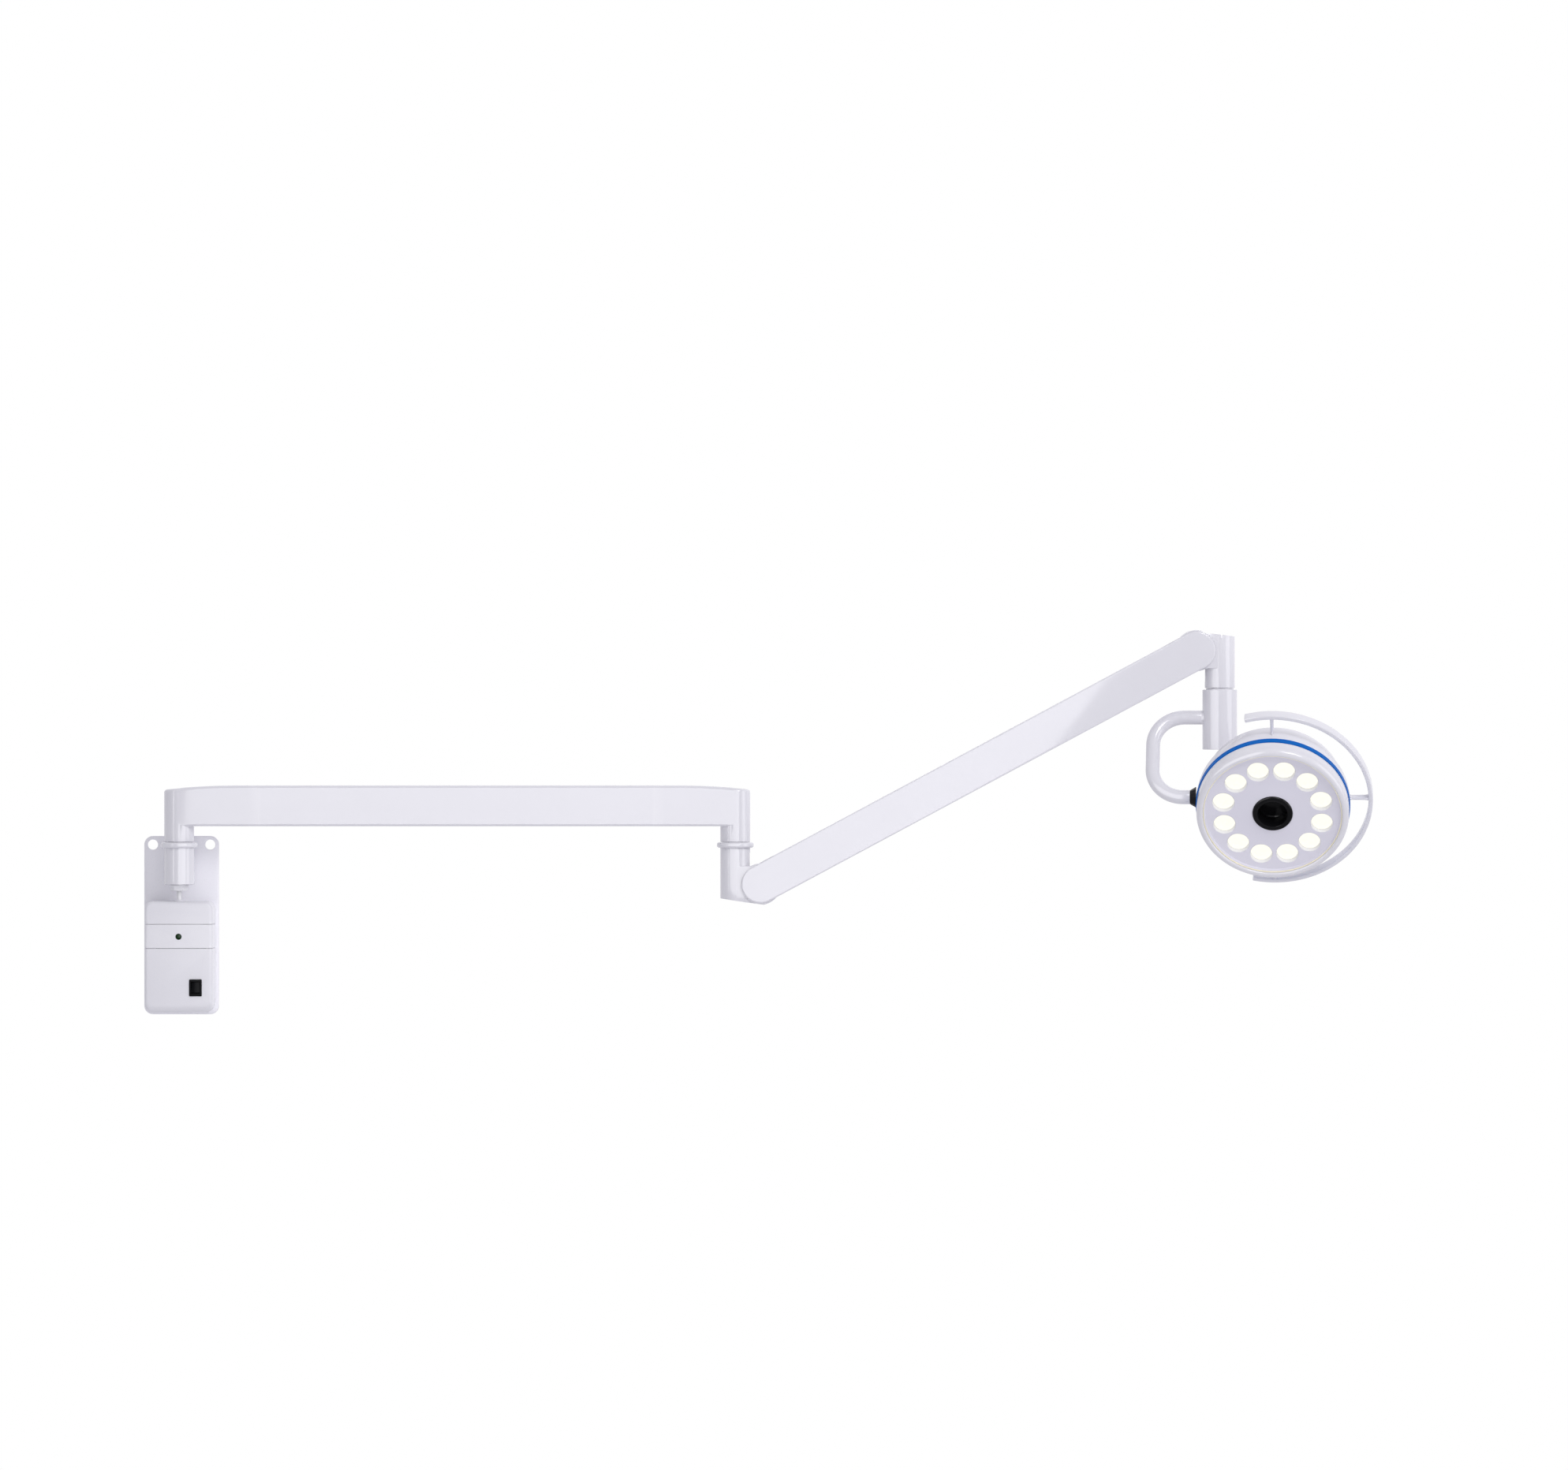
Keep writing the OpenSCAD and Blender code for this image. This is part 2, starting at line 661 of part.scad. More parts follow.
// ---- lamp head ----
module turned(points) { rotate_extrude($fn = 120) polygon(points); }
function arc(cx, cz, r, from, to, steps = 8) =
    [for (i = [0:steps]) let (a = from + (to - from) * i / steps) [cx + r * cos(a), cz + r * sin(a)]];
module lens_places() {
    for (i = [0:lens_count - 1]) rotate([0, 0, 90 - first_lens - i * 360 / lens_count])
        translate([lens_ring_r, 0, 0]) children();
}
module rear_housing() {
    edge = 9;
    color("whitesmoke") in_lamp() difference() {
        turned(concat(
            [[0, back_z + wall], [0, back_z]],
            arc(back_r - edge, back_z + edge, edge, -90, 0),
            [[waist_r, shoulder_z], [head_r, shoulder_z], [head_r, blue_z], [head_r - wall, blue_z],
             [head_r - wall, shoulder_z + wall], [waist_r - wall, shoulder_z + wall]],
            arc(back_r - edge, back_z + edge, edge - wall, 0, -90)
        ));
        rotate([0, -90, 0]) cylinder(r = tilt_bush_r, h = head_r + 1);
    }
}
module blue_ring() { color("dodgerblue") in_lamp() tube(head_r + 1.2, head_r - wall, blue_z, bezel_z - blue_z); }
module front_bezel() {
    outer_edge = 6;
    inner_edge = 2.5;
    crown_r = face_r + seal_t + inner_edge;
    color("white") in_lamp() turned(concat(
        [[head_r - wall, bezel_z], [head_r, bezel_z]],
        arc(head_r - outer_edge, crown_z - outer_edge, outer_edge, 0, 90),
        arc(crown_r, crown_z - inner_edge, inner_edge, 90, 180),
        [[face_r + seal_t, face_z - face_t - 0.5], [head_r - wall, face_z - face_t - 0.5]]
    ));
}
module face_plate() {
    color("lightgray") in_lamp() difference() {
        rod(face_r, face_z - face_t, face_t);
        rod(socket_wall_r, face_z - face_t - 1, face_t + 2);
        lens_places() translate([0, 0, face_z - face_t - 1]) cylinder(d = lens_hole_d, h = face_t + 2);
    }
}
module face_seal() { color("lightyellow") in_lamp() tube(face_r + seal_t, face_r, face_z - face_t, face_t + seal_lip); }
module reflector_cups() {
    low = board_z + board_t;
    color("white") in_lamp() lens_places() difference() {
        translate([0, 0, low]) cylinder(d = lens_hole_d, h = face_z - low);
        translate([0, 0, low - 1]) cylinder(r = lens_r - 1.2, h = face_z);
        translate([0, 0, lens_z - lens_t]) cylinder(r = lens_r, h = face_z);
    }
}
module lenses() {
    color("ivory") in_lamp() lens_places() rod(lens_r, lens_z - lens_t, lens_t);
}
module led_chips() {
    chip = 5;
    color("gold") in_lamp() lens_places() translate([-chip / 2, -chip / 2, board_z + board_t]) cube([chip, chip, 1.2]);
}
module led_board() { color("seagreen") in_lamp() tube(board_r, socket_wall_r + 4, board_z, board_t); }
module heat_sink() {
    fin_t = 2.5;
    fin_gap = 9;
    fin_r = 66;
    fin_low = back_z + wall + 6;
    color("silver") in_lamp() {
        rod(head_r - wall, board_z - sink_t, sink_t);
        for (i = [-6:6]) let (x = i * fin_gap, half = sqrt(fin_r * fin_r - x * x))
            translate([x - fin_t / 2, -half, fin_low]) cube([fin_t, 2 * half, board_z - sink_t - fin_low]);
    }
}
module tilt_bush() {
    outer = head_r - 1;
    inner = fin_inner_x;
    color("tan") in_lamp() {
        difference() {
            translate([-outer, 0, 0]) rotate([0, 90, 0]) cylinder(r = tilt_bush_r, h = outer - inner);
            translate([-outer - 1, 0, 0]) rotate([0, 90, 0]) cylinder(r = tilt_shaft_r + run, h = outer);
        }
    }
}
module handle_socket() {
    color("black") in_lamp() turned([
        [0, board_z], [socket_wall_r, board_z], [socket_wall_r, face_z], [socket_r, face_z],
        [socket_r, socket_front_z - 1.5], [socket_r - 1.5, socket_front_z],
        [socket_hole_r, socket_front_z], [socket_hole_r, socket_floor_z], [0, socket_floor_z]
    ]);
}
module grab_rail() {
    color("white") in_lamp() difference() {
        union() {
            rotate([0, 0, 90 - rail_end]) rotate_extrude(angle = rail_end - rail_start, $fn = 180)
                translate([rail_r, -rail_w / 2]) square([rail_t, rail_w]);
            for (a = post_angles) rotate([0, 0, 90 - a]) translate([head_r - 4, 0, 0])
                rotate([0, 90, 0]) cylinder(r = post_r, h = rail_r - head_r + 4 + rail_t / 2);
        }
        rod(head_r, -rail_w, 2 * rail_w);
    }
}

wall_plate();
bracket_web();
wall_sleeve();
wall_bushes();
wall_collar();
box_base();
box_top_cover();
indicator_cover();
box_lower_cover();
power_supply();
indicator_lens();
switch_housing();
rocker_key();
cable_gland();
supply_cable();
arm_root_casting();
arm_beam();
arm_tip_casting();
wall_spindle();
wall_spindle_nut();
elbow_bushes();
boss_caps();
beam_cable();
elbow_collar();
elbow_spindle();
elbow_nut();
lower_knuckle();
lower_link_pin();
gas_spring_pin();
spring_arm_frame();
front_cover();
rear_cover();
lower_pivot_pin();
upper_pivot_pin();
gas_spring_cylinder();
gas_spring_rod();
level_link();
end_knuckle();
upper_link_pin();
head_spindle();
head_spindle_nut();
head_sleeve();
head_bushes();
sleeve_cap();
yoke_tube();
pivot_collar();
tilt_shaft();
rear_housing();
blue_ring();
front_bezel();
face_plate();
face_seal();
reflector_cups();
lenses();
led_chips();
led_board();
heat_sink();
tilt_bush();
handle_socket();
grab_rail();
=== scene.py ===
import json
import math
import bmesh
import bpy
from mathutils import Matrix, Vector

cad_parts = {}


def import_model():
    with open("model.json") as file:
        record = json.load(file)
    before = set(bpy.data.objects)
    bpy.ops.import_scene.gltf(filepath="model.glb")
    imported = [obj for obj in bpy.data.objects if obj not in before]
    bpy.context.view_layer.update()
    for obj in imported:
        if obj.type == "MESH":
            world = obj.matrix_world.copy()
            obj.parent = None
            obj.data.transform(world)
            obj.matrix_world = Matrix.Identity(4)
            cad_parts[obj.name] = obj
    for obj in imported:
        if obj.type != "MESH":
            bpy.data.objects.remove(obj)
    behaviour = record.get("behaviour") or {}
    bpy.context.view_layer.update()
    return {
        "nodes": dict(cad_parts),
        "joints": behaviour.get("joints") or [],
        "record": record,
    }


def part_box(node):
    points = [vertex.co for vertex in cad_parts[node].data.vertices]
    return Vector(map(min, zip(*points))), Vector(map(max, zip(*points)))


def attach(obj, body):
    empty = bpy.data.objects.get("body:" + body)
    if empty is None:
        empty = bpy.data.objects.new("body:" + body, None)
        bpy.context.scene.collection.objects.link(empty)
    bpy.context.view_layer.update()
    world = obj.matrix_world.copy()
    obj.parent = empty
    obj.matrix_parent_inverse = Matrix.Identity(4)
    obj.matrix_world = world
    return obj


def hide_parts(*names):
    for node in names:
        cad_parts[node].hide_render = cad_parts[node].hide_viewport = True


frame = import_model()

MM = 0.001          # the pieces below are drawn in millimetres
record = frame["record"]
joints = {j["name"]: j for j in frame["joints"]}
nodes = frame["nodes"]


# ---------------------------------------------------------------- places
def centre(node):
    low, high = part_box(node)
    return (low + high) / 2


def low_high(node):
    """A node's lowest and highest corners in millimetres."""
    low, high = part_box(node)
    return low / MM, high / MM


def pivot(name):
    return Vector(joints[name]["pos_m"])


def basis(origin, x, y, z):
    """A matrix that takes millimetres about an origin to metres in the frame."""
    m = Matrix((x, y, z)).transposed().to_4x4()
    return Matrix.Translation(origin) @ m @ Matrix.Scale(MM, 4)


def shifted(x=0, y=0, z=0):
    """The frame in millimetres, moved by a distance in millimetres."""
    return Matrix.Translation(Vector((x, y, z)) * MM) @ WORLD


X, Y, Z = Vector((1, 0, 0)), Vector((0, 1, 0)), Vector((0, 0, 1))
lower_pivot, upper_pivot = pivot("arm_pitch"), pivot("end_level")
elbow_at, end_at = pivot("elbow_swivel"), pivot("head_swivel")
arm_y = lower_pivot.y
along = (upper_pivot - lower_pivot).normalized()
arm_length = (upper_pivot - lower_pivot).length / MM
tilt_axis = Vector(joints["head_tilt"]["axis"]).normalized()
mounts = {m["name"]: m for m in record["mounts"]}
normal = Vector(mounts["handle_socket"]["axis"]).normalized()

# places that pieces are drawn in: the whole frame, the upright axes, the pivots, the spring arm, the lamp
WORLD = Matrix.Scale(MM, 4)
WALL = basis(Vector((0, arm_y, 0)), X, Y, Z)
ELBOW = basis(Vector((elbow_at.x, arm_y, 0)), X, Y, Z)
END = basis(Vector((end_at.x, arm_y, 0)), X, Y, Z)
HEAD = basis(Vector((end_at.x, arm_y, 0)), tilt_axis, Z.cross(tilt_axis), Z)
LOWER = basis(lower_pivot, X, Y, Z)
UPPER = basis(upper_pivot, X, Y, Z)
SPRING = basis(lower_pivot, along, Y, along.cross(Y))
LAMP = basis(pivot("head_tilt"), tilt_axis, normal.cross(tilt_axis), normal)

# radii that several pieces share, in millimetres
TUBE_R = 19
BUSH_R = 15
SPINDLE_R = 10


# ---------------------------------------------------------------- materials
def new_material(name):
    m = bpy.data.materials.new(name)
    m.use_nodes = True
    return m, m.node_tree.nodes, m.node_tree.links, m.node_tree.nodes["Principled BSDF"]


def noise(n, l, scale, detail=4.0, stretch=None):
    """Noise in object space, in metres, stretched along an axis if asked."""
    place = n.new("ShaderNodeTexCoord")
    tex = n.new("ShaderNodeTexNoise")
    tex.inputs["Scale"].default_value = scale
    tex.inputs["Detail"].default_value = detail
    if stretch:
        mapping = n.new("ShaderNodeMapping")
        mapping.inputs["Scale"].default_value = stretch
        l.new(place.outputs["Object"], mapping.inputs["Vector"])
        l.new(mapping.outputs["Vector"], tex.inputs["Vector"])
    else:
        l.new(place.outputs["Object"], tex.inputs["Vector"])
    return tex.outputs["Fac"]


def span(n, l, source, low, high):
    """Maps the middle of a noise to the stretch from low to high."""
    r = n.new("ShaderNodeMapRange")
    r.inputs["From Min"].default_value = 0.3
    r.inputs["From Max"].default_value = 0.7
    r.inputs["To Min"].default_value = low
    r.inputs["To Max"].default_value = high
    l.new(source, r.inputs["Value"])
    return r.outputs["Result"]


def tint(n, l, source, a, b):
    mix = n.new("ShaderNodeMix")
    mix.data_type = "RGBA"
    mix.inputs["A"].default_value = (*a, 1)
    mix.inputs["B"].default_value = (*b, 1)
    l.new(source, mix.inputs["Factor"])
    return mix.outputs["Result"]


def bump(n, l, bsdf, source, depth):
    b = n.new("ShaderNodeBump")
    b.inputs["Strength"].default_value = 1.0
    b.inputs["Distance"].default_value = depth
    l.new(source, b.inputs["Height"])
    l.new(b.outputs["Normal"], bsdf.inputs["Normal"])


def surface(name, colour, rough, metal=0.0, vary=0.03, grain=900, depth=2e-6, stretch=None, coat=0.0,
            patch=18, specular=0.5, edge_highlight=0.0):
    """A finish with patchy colour, varied roughness, a fine grain and, if asked, a painted highlight that
    lightens sharp edges.
    """
    m, n, l, bsdf = new_material(name)
    patches = noise(n, l, patch, 3)
    dark = tuple(c * (1 - vary) for c in colour)
    light = tuple(min(1, c * (1 + vary)) for c in colour)
    shade = tint(n, l, span(n, l, patches, 0, 1), dark, light)
    fine = noise(n, l, grain, 5, stretch)
    # painted highlight: where pointiness finds a sharp edge, the colour is lightened as if the edge caught
    # the light
    if edge_highlight:
        edge = n.new("ShaderNodeNewGeometry")
        edge_highlight_share = n.new("ShaderNodeMapRange")
        edge_highlight_share.inputs["From Min"].default_value = 0.53
        edge_highlight_share.inputs["From Max"].default_value = 0.62
        edge_highlight_share.inputs["To Max"].default_value = edge_highlight
        l.new(edge.outputs["Pointiness"], edge_highlight_share.inputs["Value"])
        mix = n.new("ShaderNodeMix")
        mix.data_type = "RGBA"
        mix.inputs["B"].default_value = (*(min(1, c * 1.25 + 0.05) for c in colour), 1)
        l.new(edge_highlight_share.outputs["Result"], mix.inputs["Factor"])
        l.new(shade, mix.inputs["A"])
        shade = mix.outputs["Result"]
    l.new(shade, bsdf.inputs["Base Color"])
    l.new(span(n, l, fine, rough * 0.85, rough * 1.2), bsdf.inputs["Roughness"])
    bump(n, l, bsdf, fine, depth)
    bsdf.inputs["Metallic"].default_value = metal
    bsdf.inputs["Specular IOR Level"].default_value = specular
    bsdf.inputs["Coat Weight"].default_value = coat
    bsdf.inputs["Coat Roughness"].default_value = 0.06
    return m


def glowing_lens():
    """A lit lens: warm white, seen brighter than it lights its cup."""
    m, n, l, bsdf = new_material("lens_glow")
    ripple = noise(n, l, 240, 2)
    colour = tint(n, l, span(n, l, ripple, 0, 1), (1.0, 0.98, 0.85), (1.0, 0.99, 0.89))
    bsdf.inputs["Base Color"].default_value = (0.12, 0.118, 0.1, 1)
    l.new(colour, bsdf.inputs["Emission Color"])
    seen = n.new("ShaderNodeLightPath")
    glow = n.new("ShaderNodeMapRange")
    glow.inputs["To Min"].default_value = 0.75
    glow.inputs["To Max"].default_value = 0.97
    l.new(seen.outputs["Is Camera Ray"], glow.inputs["Value"])
    l.new(glow.outputs["Result"], bsdf.inputs["Emission Strength"])
    l.new(span(n, l, ripple, 0.08, 0.16), bsdf.inputs["Roughness"])
    bump(n, l, bsdf, ripple, 5e-5)
    return m


# the edge_highlight amounts below paint lighter sharp edges, a painted highlight
PAINT = surface("white_paint", (0.76, 0.752, 0.80), 0.09, vary=0.008, grain=500, depth=2.5e-6, coat=0.2,
                edge_highlight=0.25)
BOX_PAINT = surface("box_paint", (0.75, 0.743, 0.79), 0.3, vary=0.01, grain=1500, depth=1.2e-5, edge_highlight=0.25)
BRONZE = surface("bush_bronze", (0.55, 0.40, 0.2), 0.4, metal=0.9, vary=0.15, grain=2500, depth=1e-5)
STEEL = surface("turned_steel", (0.56, 0.56, 0.57), 0.28, metal=1, vary=0.05, grain=500, depth=4e-6,
                stretch=(1, 1, 12))
NUT = surface("white_nut", (0.78, 0.775, 0.81), 0.28, vary=0.02, grain=1200, depth=1e-5, edge_highlight=0.2)
CABLE = surface("cable_sheath", (0.80, 0.795, 0.82), 0.38, vary=0.03, grain=2200, depth=2e-5)
BOARD = surface("solder_mask", (0.02, 0.16, 0.07), 0.35, vary=0.25, grain=900, depth=2e-5, patch=160)
GREEN = surface("indicator_green", (0.002, 0.022, 0.002), 0.1, vary=0.3, grain=300, depth=2e-5, specular=0.2,
                patch=300)
BLACK = surface("black_gloss", (0.006, 0.006, 0.007), 0.14, vary=0.3, grain=900, depth=6e-6, specular=0.22,
                edge_highlight=0.03)
SWITCH = surface("switch_black", (0.002, 0.002, 0.003), 0.25, vary=0.3, grain=3000, depth=2e-5,
                 specular=0.06, edge_highlight=0.03)
GAS = surface("gas_spring_black", (0.02, 0.02, 0.022), 0.35, vary=0.2, grain=900, depth=8e-6, edge_highlight=0.2)
BLUE = surface("blue_trim", (0.0, 0.125, 0.50), 0.3, vary=0.06, grain=1200, depth=8e-6, specular=0.04,
               edge_highlight=0.02)
CAST = surface("cast_paint", (0.75, 0.742, 0.79), 0.11, vary=0.008, grain=500, depth=3e-6, coat=0.15,
               edge_highlight=0.25)
# painted light: a lighter copy of the white paint, the plate's own finish, that paints in the extra light
# the plate catches from the key
LIT_PLATE_PAINT = surface("plate_paint", (0.86, 0.852, 0.90), 0.3, vary=0.008, grain=900, depth=8e-6, edge_highlight=0.15)
FACE = surface("face_plastic", (0.74, 0.725, 0.81), 0.42, vary=0.012, grain=2600, depth=1.6e-5, specular=0.3)
SEAL = surface("cream_seal", (0.97, 0.91, 0.68), 0.45, vary=0.03, grain=1500, depth=1e-5)
CUP = surface("cup_white", (0.86, 0.855, 0.88), 0.25, vary=0.02, grain=900, depth=8e-6)
PHOSPHOR = surface("led_phosphor", (0.85, 0.62, 0.08), 0.5, vary=0.1, grain=3000, depth=1e-5, patch=400)
ALUMINIUM = surface("extruded_aluminium", (0.66, 0.66, 0.67), 0.35, metal=1, vary=0.05, grain=300,
                    depth=8e-6, stretch=(1, 14, 1))
LENS = glowing_lens()

SLOT_FINISH = {
    "white_paint": PAINT, "box_paint": BOX_PAINT, "bush_bronze": BRONZE, "steel": STEEL, "nut_paint": NUT,
    "white_cable": CABLE, "board": BOARD, "green_lens": GREEN, "black_plastic": BLACK,
    "gas_cylinder_paint": GAS, "blue_trim": BLUE, "face_plastic": FACE, "seal": SEAL, "cup_white": CUP,
    "lens_glow": LENS, "led_yellow": PHOSPHOR, "heat_sink_aluminium": ALUMINIUM,
}
slot_of = {s["node"]: s["material_slot"] for s in record["subparts"]}
for name, node in nodes.items():
    node.data.materials.clear()
    node.data.materials.append(SLOT_FINISH[slot_of[name]])


# ---------------------------------------------------------------- mesh helpers
def build(name, points, faces, place):
    mesh = bpy.data.meshes.new(name)
    mesh.from_pydata([place @ Vector(p) for p in points], [], faces)
    obj = bpy.data.objects.new(name, mesh)
    bpy.context.scene.collection.objects.link(obj)
    clean(obj)
    return obj


def clean(obj):
    """Merges doubled points and turns every face outwards."""
    bm = bmesh.new()
    bm.from_mesh(obj.data)
    bmesh.ops.remove_doubles(bm, verts=bm.verts, dist=2e-6)
    bmesh.ops.dissolve_degenerate(bm, edges=bm.edges, dist=1e-6)
    bmesh.ops.recalc_face_normals(bm, faces=bm.faces)
    bm.to_mesh(obj.data)
    bm.free()


def apply_modifiers(obj):
    depsgraph = bpy.context.evaluated_depsgraph_get()
    mesh = bpy.data.meshes.new_from_object(obj.evaluated_get(depsgraph))
    obj.modifiers.clear()
    obj.data = mesh


def combine(obj, other, operation):
    """Joins, cuts or keeps what is shared with another closed piece, which is used up."""
    m = obj.modifiers.new("combine", "BOOLEAN")
    m.object = other
    m.operation = operation
    m.solver = "EXACT"
    apply_modifiers(obj)
    bpy.data.objects.remove(other)
    clean(obj)
    return obj


def join(obj, *others):
    for o in others:
        combine(obj, o, "UNION")
    return obj


def cut(obj, *others):
    for o in others:
        combine(obj, o, "DIFFERENCE")
    return obj


def soften(obj, width, segments=3, angle=38):
    """Rounds every edge sharper than angle."""
    m = obj.modifiers.new("soften", "BEVEL")
    m.width = width * MM
    m.segments = segments
    m.limit_method = "ANGLE"
    m.angle_limit = math.radians(angle)
    m.use_clamp_overlap = True
    m.miter_outer = "MITER_ARC"
    apply_modifiers(obj)
    return obj


def shade(obj, angle=32):
    limit = math.radians(angle)
    bm = bmesh.new()
    bm.from_mesh(obj.data)
    for f in bm.faces:
        f.smooth = True
    for e in bm.edges:
        e.smooth = len(e.link_faces) == 2 and e.calc_face_angle(0) < limit
    bm.to_mesh(obj.data)
    bm.free()


def finish(obj, body, material, *stands_for, angle=32):
    """Shades a piece, gives it a finish and a body, and hides the CAD nodes it stands for."""
    shade(obj, angle)
    obj.data.materials.clear()
    obj.data.materials.append(material)
    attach(obj, body)
    if stands_for:
        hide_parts(*stands_for)
    return obj


def skin(rings, closed=False):
    """The points of rings of equal count, and the faces from each ring to the next."""
    count = len(rings[0])
    points = [p for ring in rings for p in ring]
    faces = []
    last = len(rings) if closed else len(rings) - 1
    for i in range(last):
        a, b = i * count, (i + 1) % len(rings) * count
        for j in range(count):
            k = (j + 1) % count
            faces.append((a + j, a + k, b + k, b + j))
    return points, faces


def loft(name, rings, place, closed=False):
    """A skin over rings; the end rings are capped unless the rings close on themselves."""
    points, faces = skin(rings, closed)
    count = len(rings[0])
    if not closed:
        faces.append(tuple(range(count)))
        faces.append(tuple(range((len(rings) - 1) * count, len(rings) * count)))
    return build(name, points, faces, place)


def lathe(name, profile, place, segments=96, axis="z"):
    """Turns a closed outline of (radius, height) points about the local Z, X or Y axis."""
    rings = []
    for i in range(segments):
        a = 2 * math.pi * i / segments
        c, s = math.cos(a), math.sin(a)
        if axis == "z":
            rings.append([(r * c, r * s, h) for r, h in profile])
        elif axis == "x":
            rings.append([(h, r * c, r * s) for r, h in profile])
        else:
            rings.append([(r * c, h, r * s) for r, h in profile])
    return loft(name, rings, place, closed=True)


def circle_arc(x, y, r, from_a, to_a, steps):
    """Points along an arc, between two angles in degrees."""
    turns = [math.radians(from_a + (to_a - from_a) * k / steps) for k in range(steps + 1)]
    return [(x + r * math.cos(a), y + r * math.sin(a)) for a in turns]


def rounded(points, steps=5):
    """An outline whose corners given as (x, y, radius) are rounded by arcs."""
    out = []
    for i, (x, y, r) in enumerate(points):
        here = Vector((x, y))
        if r <= 0:
            out.append((x, y))
            continue
        before = Vector(points[i - 1][:2]) - here
        after = Vector(points[(i + 1) % len(points)][:2]) - here
        half = before.angle(after) / 2
        reach = r / math.tan(half)
        start, end = here + before.normalized() * reach, here + after.normalized() * reach
        middle = here + (before.normalized() + after.normalized()).normalized() * (r / math.sin(half))
        a0 = math.atan2(*(start - middle).yx)
        turn = (math.atan2(*(end - middle).yx) - a0 + math.pi) % (2 * math.pi) - math.pi
        for k in range(steps + 1):
            a = a0 + turn * k / steps
            out.append((middle.x + r * math.cos(a), middle.y + r * math.sin(a)))
    return out


def rectangle(w, h, r, steps=8):
    return rounded([(w / 2, h / 2, r), (-w / 2, h / 2, r), (-w / 2, -h / 2, r), (w / 2, -h / 2, r)], steps)


def tube_profile(r_in, r_out, z0, z1, edge, inner_edge=0.3, base_edge=None):
    """A tube's outline for lathe, rounded by edge outside and by base_edge at its lower outer corner."""
    base = edge if base_edge is None else base_edge
    return rounded([(r_in, z0, inner_edge), (r_out, z0, base), (r_out, z1, edge), (r_in, z1, inner_edge)])


def rod(name, r, z0, z1, place, axis="z", segments=64):
    return lathe(name, [(0, z0), (r, z0), (r, z1), (0, z1)], place, segments, axis)


def block(name, low, high, place):
    (x0, y0, z0), (x1, y1, z1) = low, high
    rings = [[(x0, y0, z), (x1, y0, z), (x1, y1, z), (x0, y1, z)] for z in (z0, z1)]
    return loft(name, rings, place)


def sweep(name, path, r, place, sides=40):
    """A round bar of radius r along a path of points."""
    path = [Vector(p) for p in path]
    rings = []
    side = None
    for i, p in enumerate(path):
        ahead = (path[min(i + 1, len(path) - 1)] - path[max(i - 1, 0)]).normalized()
        side = ahead.orthogonal() if side is None else (side - ahead * side.dot(ahead))
        side.normalize()
        up = ahead.cross(side)
        rings.append([tuple(p + (side * math.cos(a) + up * math.sin(a)) * r)
                      for a in (2 * math.pi * k / sides for k in range(sides))])
    return loft(name, rings, place)


def slab(name, outline, levels, place, axis="z"):
    """A prism over outline(inset) whose levels are (height, inset) pairs, along the local Z or Y axis."""
    rings = []
    for height, inset in levels:
        if axis == "z":
            rings.append([(x, y, height) for x, y in outline(inset)])
        else:
            rings.append([(x, height, y) for x, y in outline(inset)])
    return loft(name, rings, place)


def eased(low, high, low_edge, high_edge, steps=5):
    """Levels from low to high whose ends are rounded over."""
    def quarter(edge):
        if edge <= 0:
            return [(0, 0)]
        turns = [math.pi / 2 * k / steps for k in range(steps + 1)]
        return [(edge * (1 - math.sin(a)), edge * (1 - math.cos(a))) for a in turns]

    start = [(low + up, inset) for up, inset in reversed(quarter(low_edge))]
    end = [(high - up, inset) for up, inset in quarter(high_edge)]
    return start + end


def bar(name, length, r, z0, z1, edge, place, top=None, axis="z", steps=18, spread=1.0):
    """A bar with half-round ends and eased edges.

    top(x) lowers its upper edge along the way, and spread widens the eased edges sideways.
    """
    def half(inset):
        turns = [math.pi / 2 * k / steps for k in range(steps + 1)]
        near = [(-(r - inset) * math.cos(a), (r - inset) * math.sin(a)) for a in turns]
        far = [(length + (r - inset) * math.sin(a), (r - inset) * math.cos(a)) for a in turns]
        straight = [(length * k / 40, r - inset) for k in range(1, 40)]
        return near + straight + far

    rings = []
    for height, inset in eased(z0, z1, edge[0], edge[1]):
        side = half(inset * spread)
        share = (height - z0) / (z1 - z0)
        drop = [(top(x) - z1) * share if top else 0 for x, _ in side]
        upper = [(x, y, height + d) for (x, y), d in zip(side, drop)]
        lower = [(x, -y, h) for x, y, h in reversed(upper[1:-1])]
        rings.append(upper + lower)
    if axis == "y":
        rings = [[(x, h, y) for x, y, h in ring] for ring in rings]
    points, faces = skin(rings)
    count = len(rings[0])
    for start in (0, (len(rings) - 1) * count):
        for j in range(count // 2):
            quad = [j, j + 1, (count - j - 1) % count, (count - j) % count]
            faces.append(tuple(start + k for k in dict.fromkeys(quad)))
    return build(name, points, faces, place)


# ---------------------------------------------------------------- wall unit
low, high = low_high("wall_plate")
plate_w, plate_h = high.x - low.x, high.z - low.z
plate = slab("wall_plate_shell", lambda i: rectangle(plate_w - 2 * i, plate_h - 2 * i, 11 - i),
             eased(low.y, high.y, 1.4, 0.3), WORLD, "y")
bolts = mounts["wall_bolts"]
bolt_z = bolts["pos_m"][2] / MM
bolt_x = bolts["dims"]["spacing_x_mm"] / 2
bolt_r = bolts["dims"]["hole_r_mm"]
bolt_hole = [(0, low.y - 2), (bolt_r + 1.6, low.y - 2), (bolt_r + 0.5, low.y + 0.1), (bolt_r, low.y + 0.8),
             (bolt_r, 2), (0, 2)]
for side in (-1, 1):
    cut(plate, lathe("hole", bolt_hole, shifted(side * bolt_x, 0, bolt_z), 48, "y"))
